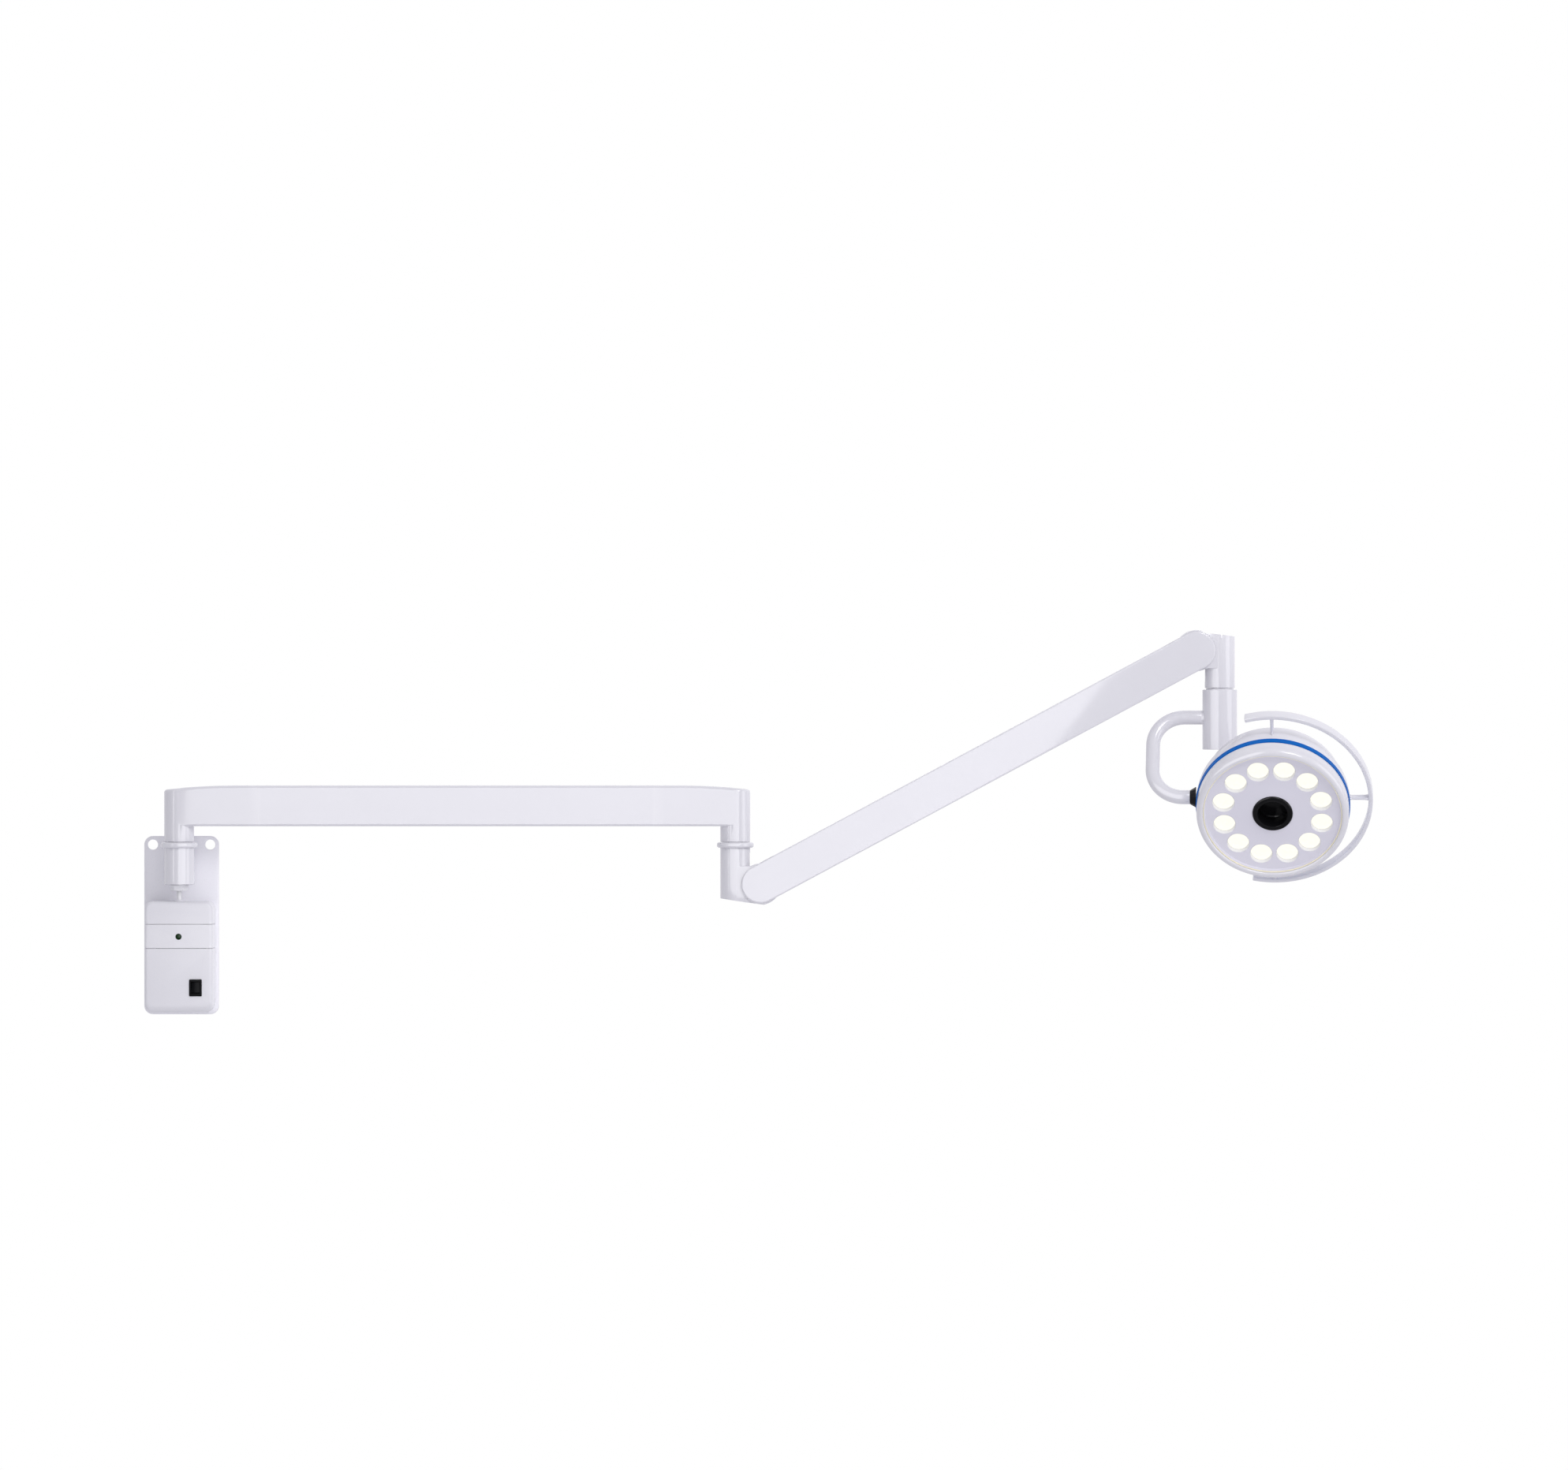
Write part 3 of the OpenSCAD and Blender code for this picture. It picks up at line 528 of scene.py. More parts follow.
# the plate is drawn in the lighter copy of the white paint, which is painted light
finish(plate, "wall_unit", LIT_PLATE_PAINT, "wall_plate")

low, high = low_high("bracket_web")
WEB_HALF = 15.5             # narrower than the sleeve, which hides it in the front view
web = block("bracket_web_shell", (-WEB_HALF, low.y, low.z), (WEB_HALF, high.y, high.z), WORLD)
soften(web, 3.0, 4)
cut(web, rod("sleeve_space", TUBE_R + 0.05, low.z - 1, high.z + 1, WALL))
finish(web, "wall_unit", PAINT, "bracket_web")

low, high = low_high("wall_sleeve")
SLEEVE_LIP = 0.6            # thickness of the lip that covers the lower bush
lip_r = SPINDLE_R + 0.6
lip_top = low.z + SLEEVE_LIP
sleeve_shell = rounded([(lip_r, low.z, 0.15), (TUBE_R, low.z, 0.9), (TUBE_R, high.z, 0.3),
                        (BUSH_R, high.z, 0.15), (BUSH_R, lip_top, 0), (lip_r, lip_top, 0)])
finish(lathe("wall_sleeve_shell", sleeve_shell, WALL, 96), "wall_unit", PAINT, "wall_sleeve")


def bush_profile(z0, z1):
    return tube_profile(SPINDLE_R + 0.05, BUSH_R - 0.02, z0, z1, 0.1, 0.1)


BUSH_H = 15
low, high = low_high("wall_bushes")
bushes = lathe("wall_bush_pair", bush_profile(low.z + SLEEVE_LIP + 0.05, low.z + BUSH_H), WALL)
join(bushes, lathe("upper", bush_profile(high.z - BUSH_H, high.z), WALL))
finish(bushes, "wall_unit", BRONZE, "wall_bushes")

low, high = low_high("wall_collar")
COLLAR = tube_profile(15.5, 23.3, low.z, high.z, 2.6, 0.4)
finish(lathe("wall_collar_ring", COLLAR, WALL), "wall_unit", PAINT, "wall_collar")


def hex_nut(name, across, z0, z1, place, bore):
    """A hexagonal nut with turned corners, across its flats."""
    corner = across / math.sqrt(3)
    outline = [(corner * math.cos(a), corner * math.sin(a)) for a in (math.pi / 3 * k for k in range(6))]
    nut = loft(name, [[(x, y, z) for x, y in outline] for z in (z0, z1)], place)
    turned = [(0, z0), (across / 2 - 0.4, z0), (corner + 0.2, z0 + 1.6), (corner + 0.2, z1), (0, z1)]
    combine(nut, lathe("turned", turned, place, 64), "INTERSECT")
    return cut(nut, rod("bore", bore, z0 - 1, z1 + 1, place))


low, high = low_high("wall_spindle_nut")
NUT_BORE = 8.1
nut = hex_nut("wall_nut_piece", 20, low.z, high.z - 1.4, WALL, NUT_BORE)
flange = tube_profile(NUT_BORE, 12.5, high.z - 1.7, high.z, 0.5, 0.2)
join(nut, lathe("flange", flange, WALL, 64))
finish(nut, "wall_unit", NUT, "wall_spindle_nut")

# ---- box
base_low, base_high = low_high("box_base")
box_w, box_h = base_high.x - base_low.x, base_high.z - base_low.z
front_y, back_y = low_high("box_top_cover")[0].y, base_low.y
BOX = shifted(z=(base_high.z + base_low.z) / 2)
COVER_T, CORNER, FRONT_EDGE = 2.5, 10, 4.2


def box_body(name, inset):
    """The covers' common body, rounded all round at its front."""
    levels = eased(front_y + inset, back_y + (1 if inset else 0), FRONT_EDGE - inset, 0, 10)
    half_w, half_h = box_w / 2 - inset, box_h / 2 - inset
    foot_spread = 2.2           # the lower front edge is rounder than the others

    def outline(i):
        side, top, foot = half_w - i, half_h - i, half_h - foot_spread * i
        r = CORNER - inset - i
        return rounded([(side, top, r), (-side, top, r), (-side, -foot, r), (side, -foot, r)], 9)

    return slab(name, outline, levels, BOX, "y")


def box_cover(name, z0, z1, node, hole):
    """The stretch of the hollow body between two heights, with its hole."""
    cover = cut(box_body(name, 0), box_body("hollow", COVER_T))
    combine(cover, block("stretch", (-60, front_y - 5, z0), (60, back_y + 2, z1), WORLD), "INTERSECT")
    cut(cover, hole)
    return finish(cover, "wall_unit", BOX_PAINT, node)


gland_low, gland_high = low_high("cable_gland")
gland_hole = rod("gland_hole", 6.05, gland_low.z - 4, gland_high.z + 4, WALL)
box_cover("box_top_shell", low_high("box_top_cover")[0].z, 60, "box_top_cover", gland_hole)

indicator = centre("indicator_lens") / MM
DOT = shifted(indicator.x, 0, indicator.z)
lens_hole = rod("lens_hole", 3.95, front_y - 5, front_y + 6, DOT, "y")
low, high = low_high("indicator_cover")
box_cover("box_middle_shell", low.z, high.z, "indicator_cover", lens_hole)
dome = [(0, -0.9), (1.6, -0.8), (2.9, -0.45), (3.5, 0.0), (3.7, 0.5), (3.7, 2.5), (4.9, 2.5), (4.9, 5.5),
        (0, 5.5)]
finish(lathe("indicator_dome", [(r, front_y + h) for r, h in dome], DOT, 48, "y"), "wall_unit", GREEN,
       "indicator_lens")

switch_low, switch_high = low_high("switch_housing")
switch = (switch_low + switch_high) / 2
SWITCH_AT = shifted(switch.x, 0, switch.z)
CAN_W, CAN_H = 14, 19.5         # the hole that the switch's body snaps into
switch_hole = block("switch_hole", (-CAN_W / 2, front_y - 5, -CAN_H / 2),
                    (CAN_W / 2, front_y + 8, CAN_H / 2), SWITCH_AT)
box_cover("box_lower_shell", -200, low_high("box_lower_cover")[1].z, "box_lower_cover", switch_hole)

switch_w, switch_h = switch_high.x - switch_low.x, switch_high.z - switch_low.z
bezel = slab("switch_bezel", lambda i: rectangle(switch_w - 2 * i, switch_h - 2 * i, 1.2, 4),
             eased(switch_low.y, front_y, 0.7, 0), SWITCH_AT, "y")
join(bezel, block("switch_can", (-CAN_W / 2 + 0.1, front_y - 0.4, -CAN_H / 2 + 0.15),
                  (CAN_W / 2 - 0.1, switch_high.y, CAN_H / 2 - 0.15), SWITCH_AT))
cut(bezel, block("key_well", (-5.8, switch_low.y - 3, -8), (5.8, front_y + 12, 8), SWITCH_AT))
finish(bezel, "wall_unit", SWITCH, "switch_housing")

KEY = Matrix.Translation(pivot("switch_rock")) @ Matrix.Rotation(math.radians(-10), 4, "X") @ WORLD
key_outline = rounded([(-7.4, -5.6, 0.7), (0.0, -4.9, 0), (7.4, -5.6, 0.7), (6.4, 0, 0.5), (2.8, 2.6, 0.5),
                       (-2.8, 2.6, 0.5), (-6.4, 0, 0.5)], 4)
key = loft("rocker_key_piece", [[(x, y, z) for z, y in key_outline] for x in (-5.5, 5.5)], KEY)
soften(key, 0.35, 2)
finish(key, "power_switch", SWITCH, "rocker_key")

low, high = low_high("supply_cable")
cable = rod("supply_cable_sheath", 2.95, low.z, high.z, WALL, segments=40)
finish(cable, "wall_unit", CABLE, "supply_cable")
gland = rounded([(3.0, gland_low.z, 0.2), (6, gland_low.z, 0.3), (6, gland_high.z - 2, 0),
                 (7.5, gland_high.z - 2, 0.4), (7.5, gland_high.z - 0.4, 0.5), (4.6, gland_high.z, 0.4),
                 (3.0, gland_high.z, 0.2)])
finish(lathe("cable_gland_turned", gland, WALL, 64), "wall_unit", BOX_PAINT, "cable_gland")

# ---------------------------------------------------------------- level arm
beam_low, beam_high = low_high("arm_beam")
arm_l = elbow_at.x / MM
root_z, tip_z = low_high("arm_root_casting")[0].z, low_high("arm_tip_casting")[0].z
nut_z = low_high("elbow_nut")[0].z
cap_z, cap_top = (corner.z for corner in low_high("boss_caps"))
root_floor = low_high("wall_spindle")[1].z
cable_z = centre("beam_cable").z / MM
BEAM_T = 2.5
SEAM = 0.04                     # between the beam and each casting
DROOP, DROOP_FROM, DROOP_TO = 5, 73, -19


def drooping(x):
    """Height of the arm's top edge, which falls a little over each end."""
    into = max(0, DROOP_FROM - min(x, arm_l - x))
    return beam_high.z - DROOP * (into / (DROOP_FROM - DROOP_TO)) ** 2


def arm_body(name):
    return bar(name, arm_l, TUBE_R, beam_low.z, beam_high.z, (3.2, 4.2), WALL, drooping)


def keep(obj, x0, x1):
    """Keeps the stretch of the arm between two distances from the wall's axis."""
    return combine(obj, block("stretch", (x0, -60, 60), (x1, 60, 220), WALL), "INTERSECT")


def boss(place, low_z):
    """The short round boss under the arm's end, blended into it."""
    r, top = TUBE_R - 0.01, beam_low.z + 6
    profile = [(0, low_z), (TUBE_R - 0.8, low_z), (TUBE_R - 0.2, low_z + 0.3), (r, low_z + 1.0), (r, top),
               (0, top)]
    return lathe("boss", profile, place, 96)


def inside(name, x0, x1, inset):
    """A block as wide and high as the beam, less an inset on each side."""
    half = TUBE_R - inset
    return block(name, (x0, -half, beam_low.z + inset), (x1, half, beam_high.z - inset), WALL)


def cable_way(x0, x1):
    return block("cable_way", (x0, -10, cable_z - 12), (x1, 10, cable_z + 8), WALL)


root = keep(arm_body("arm_root_shell"), -40, beam_low.x - SEAM)
join(root, boss(WALL, root_z), inside("spigot", beam_low.x - 3, beam_low.x + 24, BEAM_T + 0.2))
cut(root, rod("spindle_way", 12.5, root_z - 1, root_floor, WALL),
    rod("chamber", 15, root_floor - 0.1, cap_z + 0.1, WALL),
    rod("cap_seat", 16.6, cap_z, 200, WALL),
    cable_way(0, 160))
finish(root, "level_arm", CAST, "arm_root_casting")

beam = keep(arm_body("arm_beam_shell"), beam_low.x, beam_high.x)
cut(beam, inside("hollow", beam_low.x - 5, beam_high.x + 5, BEAM_T))
finish(beam, "level_arm", PAINT, "arm_beam")

tip = keep(arm_body("arm_tip_shell"), beam_high.x + SEAM, arm_l + 40)
join(tip, boss(ELBOW, tip_z), inside("spigot", beam_high.x - 24, beam_high.x + 3, BEAM_T + 0.2))
cut(tip, rod("bush_way", BUSH_R, root_z - 1, nut_z, ELBOW),
    rod("chamber", 16.5, nut_z - 0.4, 200, ELBOW),
    cable_way(beam_high.x - 60, arm_l))
finish(tip, "level_arm", CAST, "arm_tip_casting")

cap_outline = [(0, cap_z), (16.4, cap_z), (16.4, cap_top - 0.6), (15.8, cap_top), (0, cap_top)]
caps = lathe("cap_pair", cap_outline, WALL, 72)
join(caps, lathe("far_cap", cap_outline, ELBOW, 72))
finish(caps, "level_arm", PAINT, "boss_caps")

# ---------------------------------------------------------------- elbow
finish(lathe("elbow_collar_ring", COLLAR, ELBOW), "elbow", PAINT, "elbow_collar")
HUB_R, HUB_HALF = 26, 19
HUB = rounded([(0, -HUB_HALF, 0), (HUB_R, -HUB_HALF, 1.6), (HUB_R, HUB_HALF, 1.6), (0, HUB_HALF, 0)])


def hub(place):
    """The round hub on a pivot, across the arm."""
    return lathe("hub", HUB, place, 128, "y")


def shoulder(outline, half, place, edge=3):
    """A solid between two sides, drawn in the side view and softened."""
    part = loft("shoulder", [[(x, y, z) for x, z in outline] for y in (-half, half)], place)
    return soften(part, edge, 4)


def knuckle_holes(place, slot_from, slot_to):
    """The pivot pin's bore and the slot that the link and the gas spring's rod work in."""
    pin_r, slot_half = 5.05, 4.5
    pin = rod("pin_way", pin_r, -30, 30, place, "y")
    slot = block("slot", (slot_from, -slot_half, -40), (slot_to, slot_half, 40), place)
    return pin, slot


def wedge(outline, place):
    """A cutter across the arm, drawn in the side view."""
    return loft("wedge", [[(x, y, z) for x, z in outline] for y in (-60, 60)], place)


elbow_x = (elbow_at.x - lower_pivot.x) / MM
knuckle_top = low_high("elbow_collar")[0].z - lower_pivot.z / MM
column = lathe("lower_knuckle_shell", tube_profile(0, TUBE_R, -HUB_R, knuckle_top, 0.5, 0, 0.3),
               basis(Vector((elbow_at.x, arm_y, lower_pivot.z)), X, Y, Z), 128)
flank = [(elbow_x, -23.5), (0, -25), (0, 23), (elbow_x, 23)]
join(column, hub(LOWER), shoulder(flank, HUB_HALF - 0.15, LOWER, 0.8))
underside = [(elbow_x - 40, -60), (14, -60), (14, -27), (elbow_x + 12, -22.6), (elbow_x - 40, -14.6)]
cut(column, wedge(underside, LOWER))
cut(column, rod("spindle_way", SPINDLE_R, 60, 120, ELBOW), *knuckle_holes(LOWER, -14, 60))
soften(column, 0.5, 2, 60)
finish(column, "elbow", PAINT, "lower_knuckle")

# ---------------------------------------------------------------- end knuckle
end_x = (end_at.x - upper_pivot.x) / MM
end_z = low_high("end_knuckle")[0].z
END_TOP = 22.5
column = lathe("end_knuckle_shell",
               tube_profile(0, TUBE_R, end_z, upper_pivot.z / MM + END_TOP, 1.2, 0, 0.8), END, 128)
flank = [(0, -END_TOP), (end_x, -END_TOP), (end_x, END_TOP), (0, END_TOP)]
join(column, hub(UPPER), shoulder(flank, HUB_HALF - 0.25, UPPER, 0.8))
above = [(8, END_TOP - 0.2), (end_x, END_TOP - 2.2), (end_x + 30, END_TOP - 6), (end_x + 30, 60), (8, 60)]
cut(column, wedge(above, UPPER))
cut(column, rod("spindle_way", SPINDLE_R, end_z - 1, low_high("head_spindle")[1].z, END),
    *knuckle_holes(UPPER, -40, 14))
soften(column, 0.6, 2, 60)
finish(column, "end_knuckle", PAINT, "end_knuckle")

# ---------------------------------------------------------------- spring arm
COVER_R, COVER_HALF, COVER_IN = 23.95, 22.4, 20.7
COVER_EDGE, SKIRT_T, SKIRT_END = 1.4, 2.2, 31


def arm_cover(name, side, node):
    """A side cover with an eased outer edge and skirts over the frame."""
    near, far = sorted((side * COVER_IN, side * COVER_HALF))
    edges = (COVER_EDGE, 0) if side < 0 else (0, COVER_EDGE)
    cover = bar(name, arm_length, COVER_R, near, far, edges, SPRING, axis="y", spread=1.7)
    near, far = sorted((side * 0.2, side * (COVER_IN + 0.4)))
    for z0, z1 in ((-COVER_R + 0.1, -COVER_R + SKIRT_T), (COVER_R - SKIRT_T, COVER_R - 0.1)):
        join(cover, block("skirt", (SKIRT_END, near, z0), (arm_length - SKIRT_END, far, z1), SPRING))
    return finish(cover, "spring_arm", PAINT, node)


arm_cover("front_cover_shell", -1, "front_cover")
arm_cover("rear_cover_shell", 1, "rear_cover")

# ---------------------------------------------------------------- head sleeve and yoke
SLEEVE_R, NECK_R, NECK_H = 22, 17.4, 1.7        # the neck reaches into the gap under the end knuckle
sleeve_low, sleeve_high = low_high("head_sleeve")
neck_z = sleeve_high.z + NECK_H
sleeve_shell = rounded([(BUSH_R, sleeve_low.z, 0.4), (SLEEVE_R, sleeve_low.z, 0.7),
                        (SLEEVE_R, sleeve_high.z, 0.9), (NECK_R, sleeve_high.z, 0), (NECK_R, neck_z, 0.2),
                        (BUSH_R, neck_z, 0.2)])
sleeve = lathe("head_sleeve_shell", sleeve_shell, END, 128)
cap_low, cap_r = sleeve_low.z - 0.01, BUSH_R - 0.1
cap = [(0, cap_low), (cap_r - 0.5, cap_low), (cap_r, sleeve_low.z + 0.5), (cap_r, sleeve_low.z + 4),
       (0, sleeve_low.z + 4)]
finish(lathe("sleeve_cap_piece", cap, END, 96), "yoke", PAINT, "sleeve_cap")

# the yoke's tube lies in a plane that leans by LEAN; it reaches REACH sideways and PLANE_H down the plane
YOKE_R, REACH, BEND, PLANE_H, LEAN = 8.9, 83.6, 39, 113.25, math.radians(27.33)
YOKE_ROOT, YOKE_END, YOKE_Z = -20.4, -35.5, 264.1
fall = Vector((0, -math.sin(LEAN), -math.cos(LEAN)))


def yoke_point(x, down):
    """A point of the yoke's plane, in millimetres in the head's frame."""
    drop = fall * down
    return (x, drop.y, YOKE_Z + drop.z)


def at_head(point):
    """Millimetres about a point of the head's frame, along the head's axes."""
    axes = HEAD.to_3x3().normalized()
    return basis(HEAD @ Vector(point), axes.col[0], axes.col[1], axes.col[2])


path = [(-15.5, 0), (-REACH + BEND + 0.5, 0)]
path += circle_arc(-REACH + BEND, BEND, BEND, 270, 180, 24)
path += circle_arc(-REACH + BEND, PLANE_H - BEND, BEND, 180, 90, 24)
path += [(YOKE_END, PLANE_H)]
yoke = sweep("yoke_tube_bent", [yoke_point(x, down) for x, down in path], YOKE_R, HEAD, 48)
cut(yoke, rod("grip", 6.05, 0, 12, at_head(yoke_point(YOKE_END - 10, PLANE_H)), "x"))
soften(yoke, 0.5, 2, 60)
finish(yoke, "yoke", PAINT, "yoke_tube")

root_at = at_head((YOKE_ROOT, 0, YOKE_Z))
weld = rounded([(YOKE_R - 1, 0, 0), (YOKE_R + 0.02, 2.6, 0), (YOKE_R + 0.3, 1.4, 0.6),
                (YOKE_R + 0.8, 0.1, 0.3), (YOKE_R + 1.0, -3, 0), (YOKE_R - 1, -3, 0)], 4)
join(sleeve, lathe("yoke_weld", [(r, -h) for r, h in weld], root_at, 64, "x"))
cut(sleeve, rod("bore", BUSH_R, sleeve_low.z - 1, sleeve_high.z + 4, END),
    rod("yoke_seat", YOKE_R - 0.05, -30, 20, root_at, "x"))
finish(sleeve, "yoke", PAINT, "head_sleeve")

cone = [(6.1, 0), (8.9, 0), (9.3, 0.6), (12.9, 6.6), (13.25, 7.2), (12.8, 7.8), (6.1, 7.8)]
cone = lathe("pivot_collar_faceted", cone, at_head(yoke_point(YOKE_END, PLANE_H)), 14, "x")
finish(cone, "yoke", BLACK, "pivot_collar", angle=12)

# ---------------------------------------------------------------- lamp head
# radii, and heights above the tilt axis towards the face
BACK_Z, SHOULDER_Z, BLUE_Z, BEZEL_Z, CROWN_Z, FACE_Z = -33, -3, 14, 21.5, 42.5, 36
BACK_R, WAIST_R, HEAD_R, BLUE_R, FACE_R, SOCKET_R = 87.5, 91.5, 96, 97.2, 86.3, 25.5
housing = [(0, BACK_Z + 2), (0, BACK_Z)]
housing += circle_arc(BACK_R - 9, BACK_Z + 9, 9, -90, 0, 12)
housing += [(WAIST_R - 0.6, SHOULDER_Z - 3.2), (WAIST_R + 0.3, SHOULDER_Z - 1.2)]
housing += [(WAIST_R + 2.2, SHOULDER_Z + 0.1), (HEAD_R - 1.2, SHOULDER_Z + 0.7)]
housing += [(HEAD_R - 0.2, SHOULDER_Z + 1.9), (HEAD_R, SHOULDER_Z + 3.4), (HEAD_R, BLUE_Z - 0.3)]
housing += [(HEAD_R - 0.3, BLUE_Z), (HEAD_R - 2, BLUE_Z), (HEAD_R - 2, SHOULDER_Z + 4)]
housing += [(WAIST_R - 2, SHOULDER_Z), (BACK_R - 2, BACK_Z + 9)]
housing += circle_arc(BACK_R - 9, BACK_Z + 9, 7, 0, -90, 8)
back = lathe("rear_housing_shell", housing, LAMP, 160)
cut(back, rod("bush_hole", 7.55, -110, -60, LAMP, "x"))
finish(back, "lamp_head", PAINT, "rear_housing")

band = [(HEAD_R - 2, BLUE_Z), (BLUE_R - 0.3, BLUE_Z), (BLUE_R, BLUE_Z + 0.3), (BLUE_R, BEZEL_Z - 0.3),
        (BLUE_R - 0.3, BEZEL_Z), (HEAD_R - 2, BEZEL_Z)]
finish(lathe("blue_ring_band", band, LAMP, 160), "lamp_head", BLUE, "blue_ring")

crown = [(HEAD_R - 2, BEZEL_Z), (HEAD_R - 0.3, BEZEL_Z), (HEAD_R, BEZEL_Z + 0.3)]
crown += circle_arc(HEAD_R - 6, CROWN_Z - 6, 6, 0, 80, 10)
crown += [(90.2, CROWN_Z)]
crown += circle_arc(FACE_R + 3.7, CROWN_Z - 2.5, 2.5, 90, 180, 8)
crown += [(FACE_R + 1.9, CROWN_Z - 3.4), (FACE_R + 1.9, FACE_Z - 2.5), (HEAD_R - 2, FACE_Z - 2.5)]
finish(lathe("front_bezel_ring", crown, LAMP, 160), "lamp_head", PAINT, "front_bezel")

LENS_COUNT, LENS_RING, FIRST_LENS = 12, 63.4, 14        # FIRST_LENS is an angle in degrees from the top


def ringed(name, profile, segments):
    """The same turned shape at each lens place, as one piece."""
    pieces = []
    for k in range(LENS_COUNT):
        a = math.radians(90 - FIRST_LENS - 360 / LENS_COUNT * k)
        place = LAMP @ Matrix.Translation((LENS_RING * math.cos(a), LENS_RING * math.sin(a), 0))
        pieces.append(lathe(name, profile, place, segments))
    bm = bmesh.new()
    for piece in pieces:
        bm.from_mesh(piece.data)
    bm.to_mesh(pieces[0].data)
    bm.free()
    for piece in pieces[1:]:
        bpy.data.objects.remove(piece)
    return pieces[0]


def above_face(points):
    """Points whose heights are measured from the face plate's front."""
    return [(r, FACE_Z + h) for r, h in points]


rim_r = FACE_R - 0.05
disc = above_face([(SOCKET_R, -2), (rim_r, -2), (rim_r, 2.9), (FACE_R - 0.7, 2.7), (FACE_R - 1.1, 1.2),
                   (FACE_R - 1.9, 0.3), (FACE_R - 3.2, 0), (44, 0), (38, 0.25), (31, 0.8), (SOCKET_R, 1.4)])
face = lathe("face_plate_disc", disc, LAMP, 160)
HOLE_R = 14.3
hole = above_face([(0, -4), (HOLE_R, -4), (HOLE_R, -0.5), (HOLE_R + 0.6, 0.1), (HOLE_R + 0.6, 2), (0, 2)])
cut(face, ringed("holes", hole, 64))
finish(face, "lamp_head", FACE, "face_plate")

SEAL_R = FACE_R + 1.15
seal = rounded([(FACE_R, FACE_Z - 2, 0.2), (SEAL_R, FACE_Z - 2, 0.2), (SEAL_R, FACE_Z + 4, 0.4),
                (FACE_R, FACE_Z + 4, 0.5)])
finish(lathe("face_seal_ring", seal, LAMP, 160), "lamp_head", SEAL, "face_seal")

cup = [(12.4, 14.1), (14.25, 14.1), (14.25, FACE_Z - 0.3), (13.9, FACE_Z - 0.1), (13.65, FACE_Z - 0.6),
       (13.65, 26.6), (12.4, 26.4)]
finish(ringed("reflector_cup_set", cup, 56), "lamp_head", CUP, "reflector_cups")

dome = [(0, 26.6), (13.5, 26.6), (13.5, 27.4), (13.3, 27.7), (13.25, 29.3), (12.9, 29.6), (11, 29.95),
        (7.5, 30.3), (3.5, 30.46), (0, 30.5)]
finish(ringed("lens_set", dome, 56), "lamp_head", LENS, "lenses")

SOCKET_FRONT, SOCKET_BORE = 39.5, mounts["handle_socket"]["dims"]["r_mm"]
socket = [(0, 12), (SOCKET_R - 0.3, 12), (SOCKET_R - 0.3, FACE_Z + 0.2)]
socket += circle_arc(SOCKET_R - 2.4, SOCKET_FRONT - 2.2, 2.2, 0, 90, 6)
socket += [(19.6, SOCKET_FRONT), (19.0, SOCKET_FRONT - 0.3), (SOCKET_BORE, SOCKET_FRONT - 1.0)]
socket += [(SOCKET_BORE, 17.4), (SOCKET_BORE - 1.4, 16), (0, 16)]
finish(lathe("handle_socket_turned", socket, LAMP, 96), "lamp_head", BLACK, "handle_socket")

RAIL_R, RAIL_T, RAIL_HALF = 120, 5.5, 6.8
RAIL_FROM, RAIL_TURN, RAIL_STEPS = 106, -209, 120       # angles in degrees
rail_outer = RAIL_R + RAIL_T
rail_section = rounded([(RAIL_R, -RAIL_HALF, 0.9), (rail_outer, -RAIL_HALF, 1.6),
                        (rail_outer, RAIL_HALF, 1.6), (RAIL_R, RAIL_HALF, 0.9)], 4)
rings = []
for k in range(RAIL_STEPS + 1):
    a = math.radians(RAIL_FROM + RAIL_TURN * k / RAIL_STEPS)
    rings.append([(r * math.cos(a), r * math.sin(a), z) for r, z in rail_section])
rail = loft("grab_rail_band", rings, LAMP)
soften(rail, 0.7, 2, 60)
strap = [(0, 95.8), (5.4, 95.8), (4.9, 97.2), (4.6, 99.5), (4.6, 108), (4.8, 114), (5.3, 117.5),
         (6.4, RAIL_R + 0.4), (6.4, RAIL_R + 1.5), (0, RAIL_R + 1.5)]
for angle in (90, 0, -90):
    turned = LAMP @ Matrix.Rotation(math.radians(angle), 4, "Z")
    join(rail, lathe("post", strap, turned @ Matrix.Diagonal((1, 0.5, 1, 1)), 48, "x"))
finish(rail, "lamp_head", PAINT, "grab_rail")

# ---------------------------------------------------------------- room, light and camera
MIDDLE = Vector((0.7, 0, -0.95))        # the floor's point under the light
CAMERA_AWAY, FRAME_W, SENSOR_W = 11.0, 1.988, 36.0
# the fill light's share by direction: axis, from, to, strength at from, strength at to
FILL_LIGHT = [("Y", -0.35, 0.25, 0.66, 1.0), ("X", -0.9, 0.3, 0.8, 1.0), ("Z", -0.75, -0.1, 0.45, 1.0)]


def smooth_share(n, l, source, low, high, at_low=0.0, at_high=1.0):
    r = n.new("ShaderNodeMapRange")
    r.interpolation_type = "SMOOTHSTEP"
    r.inputs["From Min"].default_value = low
    r.inputs["From Max"].default_value = high
    r.inputs["To Min"].default_value = at_low
    r.inputs["To Max"].default_value = at_high
    l.new(source, r.inputs["Value"])
    return r.outputs["Result"]


def product(n, l, a, b):
    times = n.new("ShaderNodeMath")
    times.operation = "MULTIPLY"
    l.new(a, times.inputs[0])
    l.new(b, times.inputs[1])
    return times.outputs["Value"]


def seen_by_camera(n):
    return n.new("ShaderNodeLightPath").outputs["Is Camera Ray"]


def mixed(n, l, share, a, b, output):
    """Sends shader a to the output, or b where share is 1."""
    mix = n.new("ShaderNodeMixShader")
    l.new(share, mix.inputs["Fac"])
    l.new(a, mix.inputs[1])
    l.new(b, mix.inputs[2])
    l.new(mix.outputs["Shader"], n[output].inputs["Surface"])


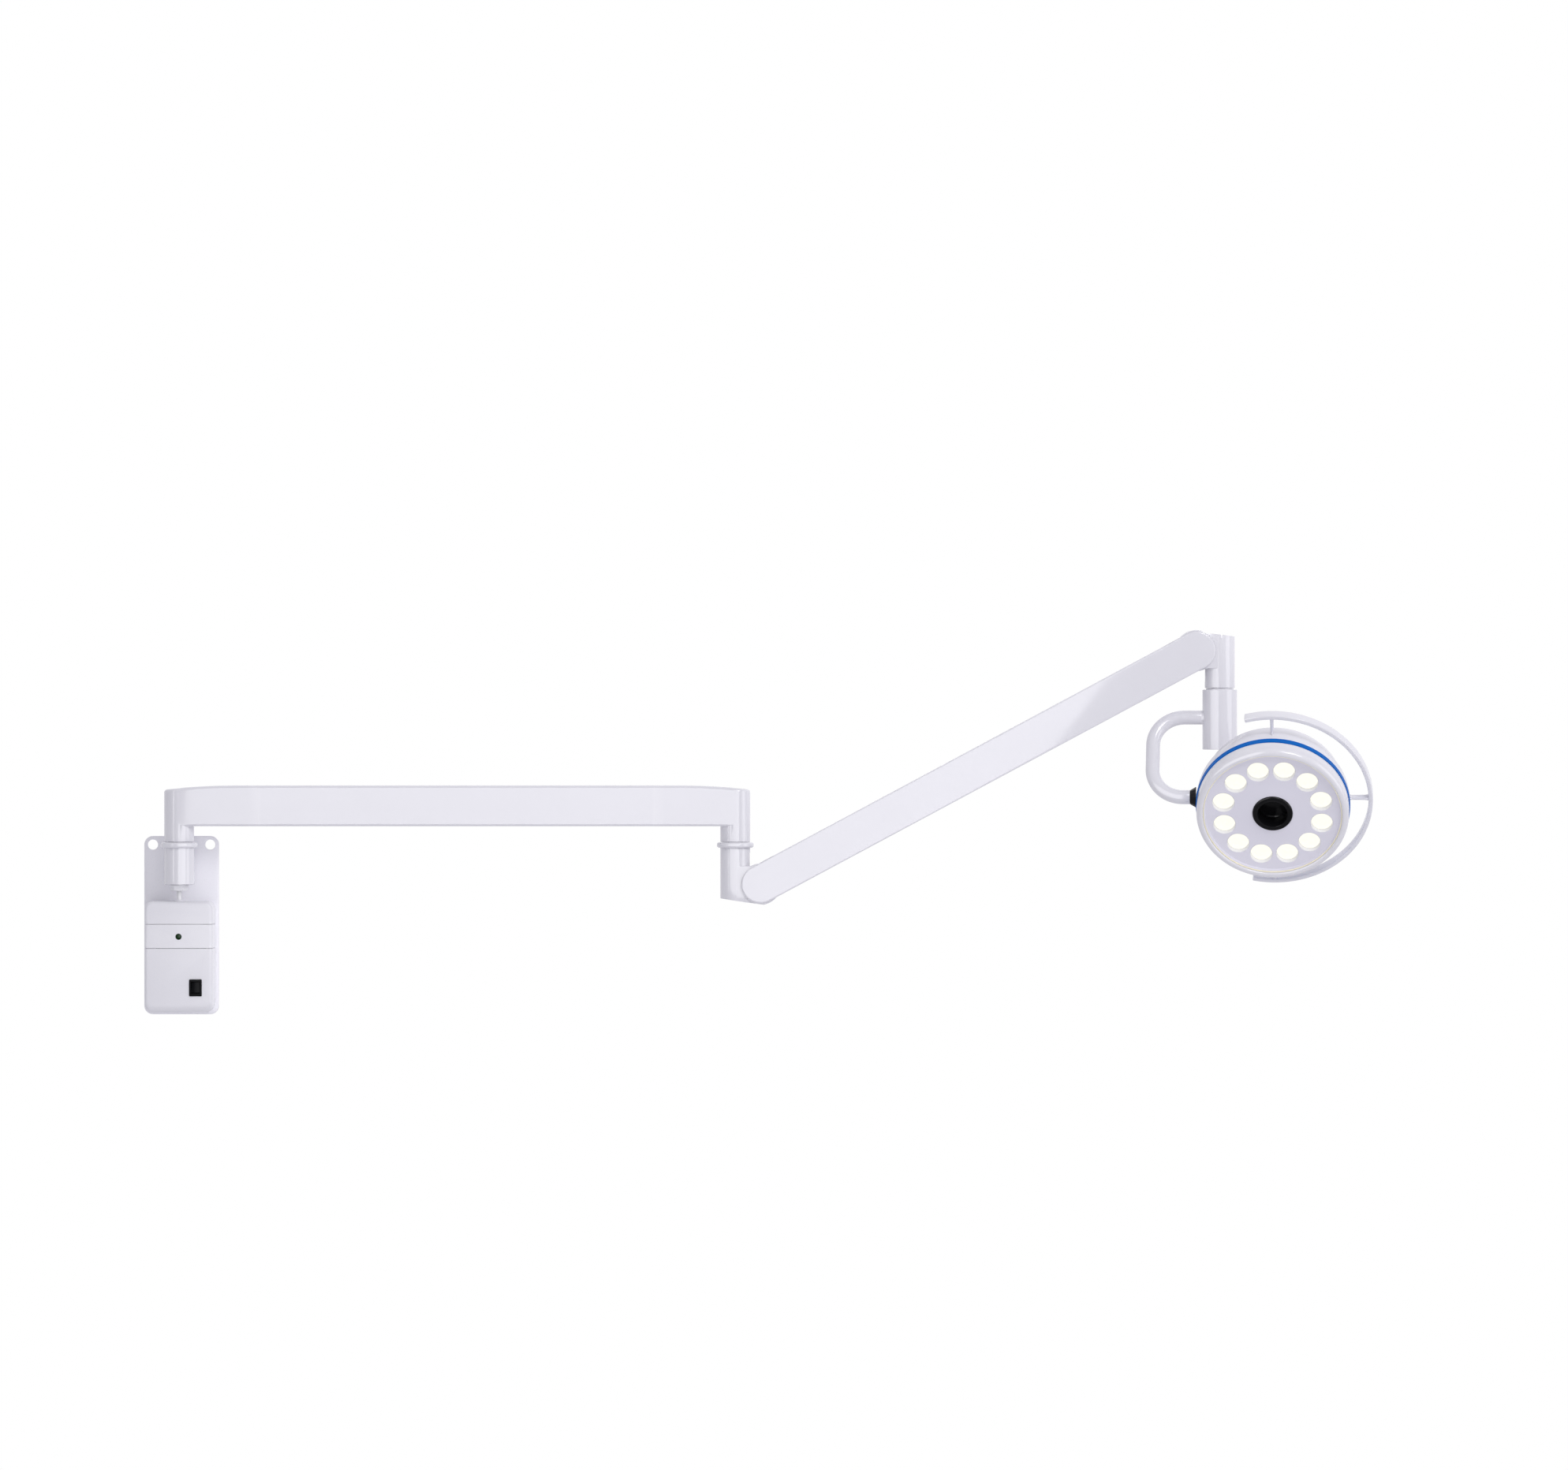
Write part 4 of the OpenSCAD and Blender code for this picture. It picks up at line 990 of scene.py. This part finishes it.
def fade_out(n, l, bsdf, near, far):
    """The camera sees the floor turn into the white background between two distances from its middle."""
    place = n.new("ShaderNodeNewGeometry")
    apart = n.new("ShaderNodeVectorMath")
    apart.operation = "DISTANCE"
    apart.inputs[1].default_value = MIDDLE
    l.new(place.outputs["Position"], apart.inputs[0])
    share = smooth_share(n, l, apart.outputs["Value"], near, far)
    white = n.new("ShaderNodeEmission")
    mixed(n, l, product(n, l, share, seen_by_camera(n)), bsdf.outputs["BSDF"], white.outputs["Emission"],
          "Material Output")


def room():
    """A pale floor that ends just behind the light, out of the camera's view."""
    bpy.ops.mesh.primitive_plane_add(size=14, location=MIDDLE - Vector((0, 4.1, 0)))
    floor = bpy.context.object
    floor.name = "floor"
    mat, n, l, bsdf = new_material("pale_floor")
    l.new(tint(n, l, noise(n, l, 3, 3), (0.86, 0.86, 0.88), (0.9, 0.9, 0.91)), bsdf.inputs["Base Color"])
    bsdf.inputs["Roughness"].default_value = 0.7
    fade_out(n, l, bsdf, 1.7, 2.85)
    floor.data.materials.append(mat)
    floor.visible_glossy = False


def area(name, at, aim, size, power, reflected_only=False):
    """A soft light; one that is reflected only shows in glossy surfaces and lights nothing."""
    lamp = bpy.data.lights.new(name, "AREA")
    lamp.shape = "RECTANGLE"
    lamp.size, lamp.size_y = size
    lamp.energy = power
    obj = bpy.data.objects.new(name, lamp)
    bpy.context.scene.collection.objects.link(obj)
    obj.location = at
    obj.rotation_euler = (Vector(aim) - Vector(at)).to_track_quat("-Z", "Y").to_euler()
    obj.visible_camera = False
    obj.visible_diffuse = not reflected_only


def world():
    """White behind the light, and a soft fill that is dimmer from the front, the left and below."""
    w = bpy.data.worlds.new("studio")
    bpy.context.scene.world = w
    w.use_nodes = True
    n, l = w.node_tree.nodes, w.node_tree.links
    seen = n["Background"]
    seen.inputs["Color"].default_value = (1, 1, 1, 1)
    seen.inputs["Strength"].default_value = 1.0
    fill = n.new("ShaderNodeBackground")
    fill.inputs["Color"].default_value = (0.965, 0.96, 1.0, 1)
    place = n.new("ShaderNodeTexCoord")
    axes = n.new("ShaderNodeSeparateXYZ")
    l.new(place.outputs["Generated"], axes.inputs["Vector"])
    shares = [smooth_share(n, l, axes.outputs[axis], *limits) for axis, *limits in FILL_LIGHT]
    total = shares[0]
    for share in shares[1:]:
        total = product(n, l, total, share)
    l.new(total, fill.inputs["Strength"])
    mixed(n, l, seen_by_camera(n), fill.outputs["Background"], seen.outputs["Background"], "World Output")


room()
world()
area("key", (2.6, -3.2, 2.6), (0.7, 0, 0.15), (1.6, 1.6), 60)
area("front_panel", (0.55, -0.86, 0.25), (0.55, 0, 0.25), (1.24, 1.0), 12, reflected_only=True)
area("right_panel", (3.0, -0.95, 0.3), (0, -0.95, 0.3), (1.3, 1.6), 13, reflected_only=True)
area("left_strip", (-0.9, -1.1, 0.3), (0.2, 0, 0.2), (0.16, 1.6), 3, reflected_only=True)

scene = bpy.context.scene
scene.view_settings.view_transform = "Standard"
camera_data = bpy.data.cameras.new("camera")
camera_data.lens = SENSOR_W * CAMERA_AWAY / FRAME_W
camera_data.clip_end = 100
camera = bpy.data.objects.new("camera", camera_data)
scene.collection.objects.link(camera)
camera.location = (0.7668, arm_y - CAMERA_AWAY, 0.242)
camera.rotation_euler = (math.radians(90), 0, 0)
scene.camera = camera
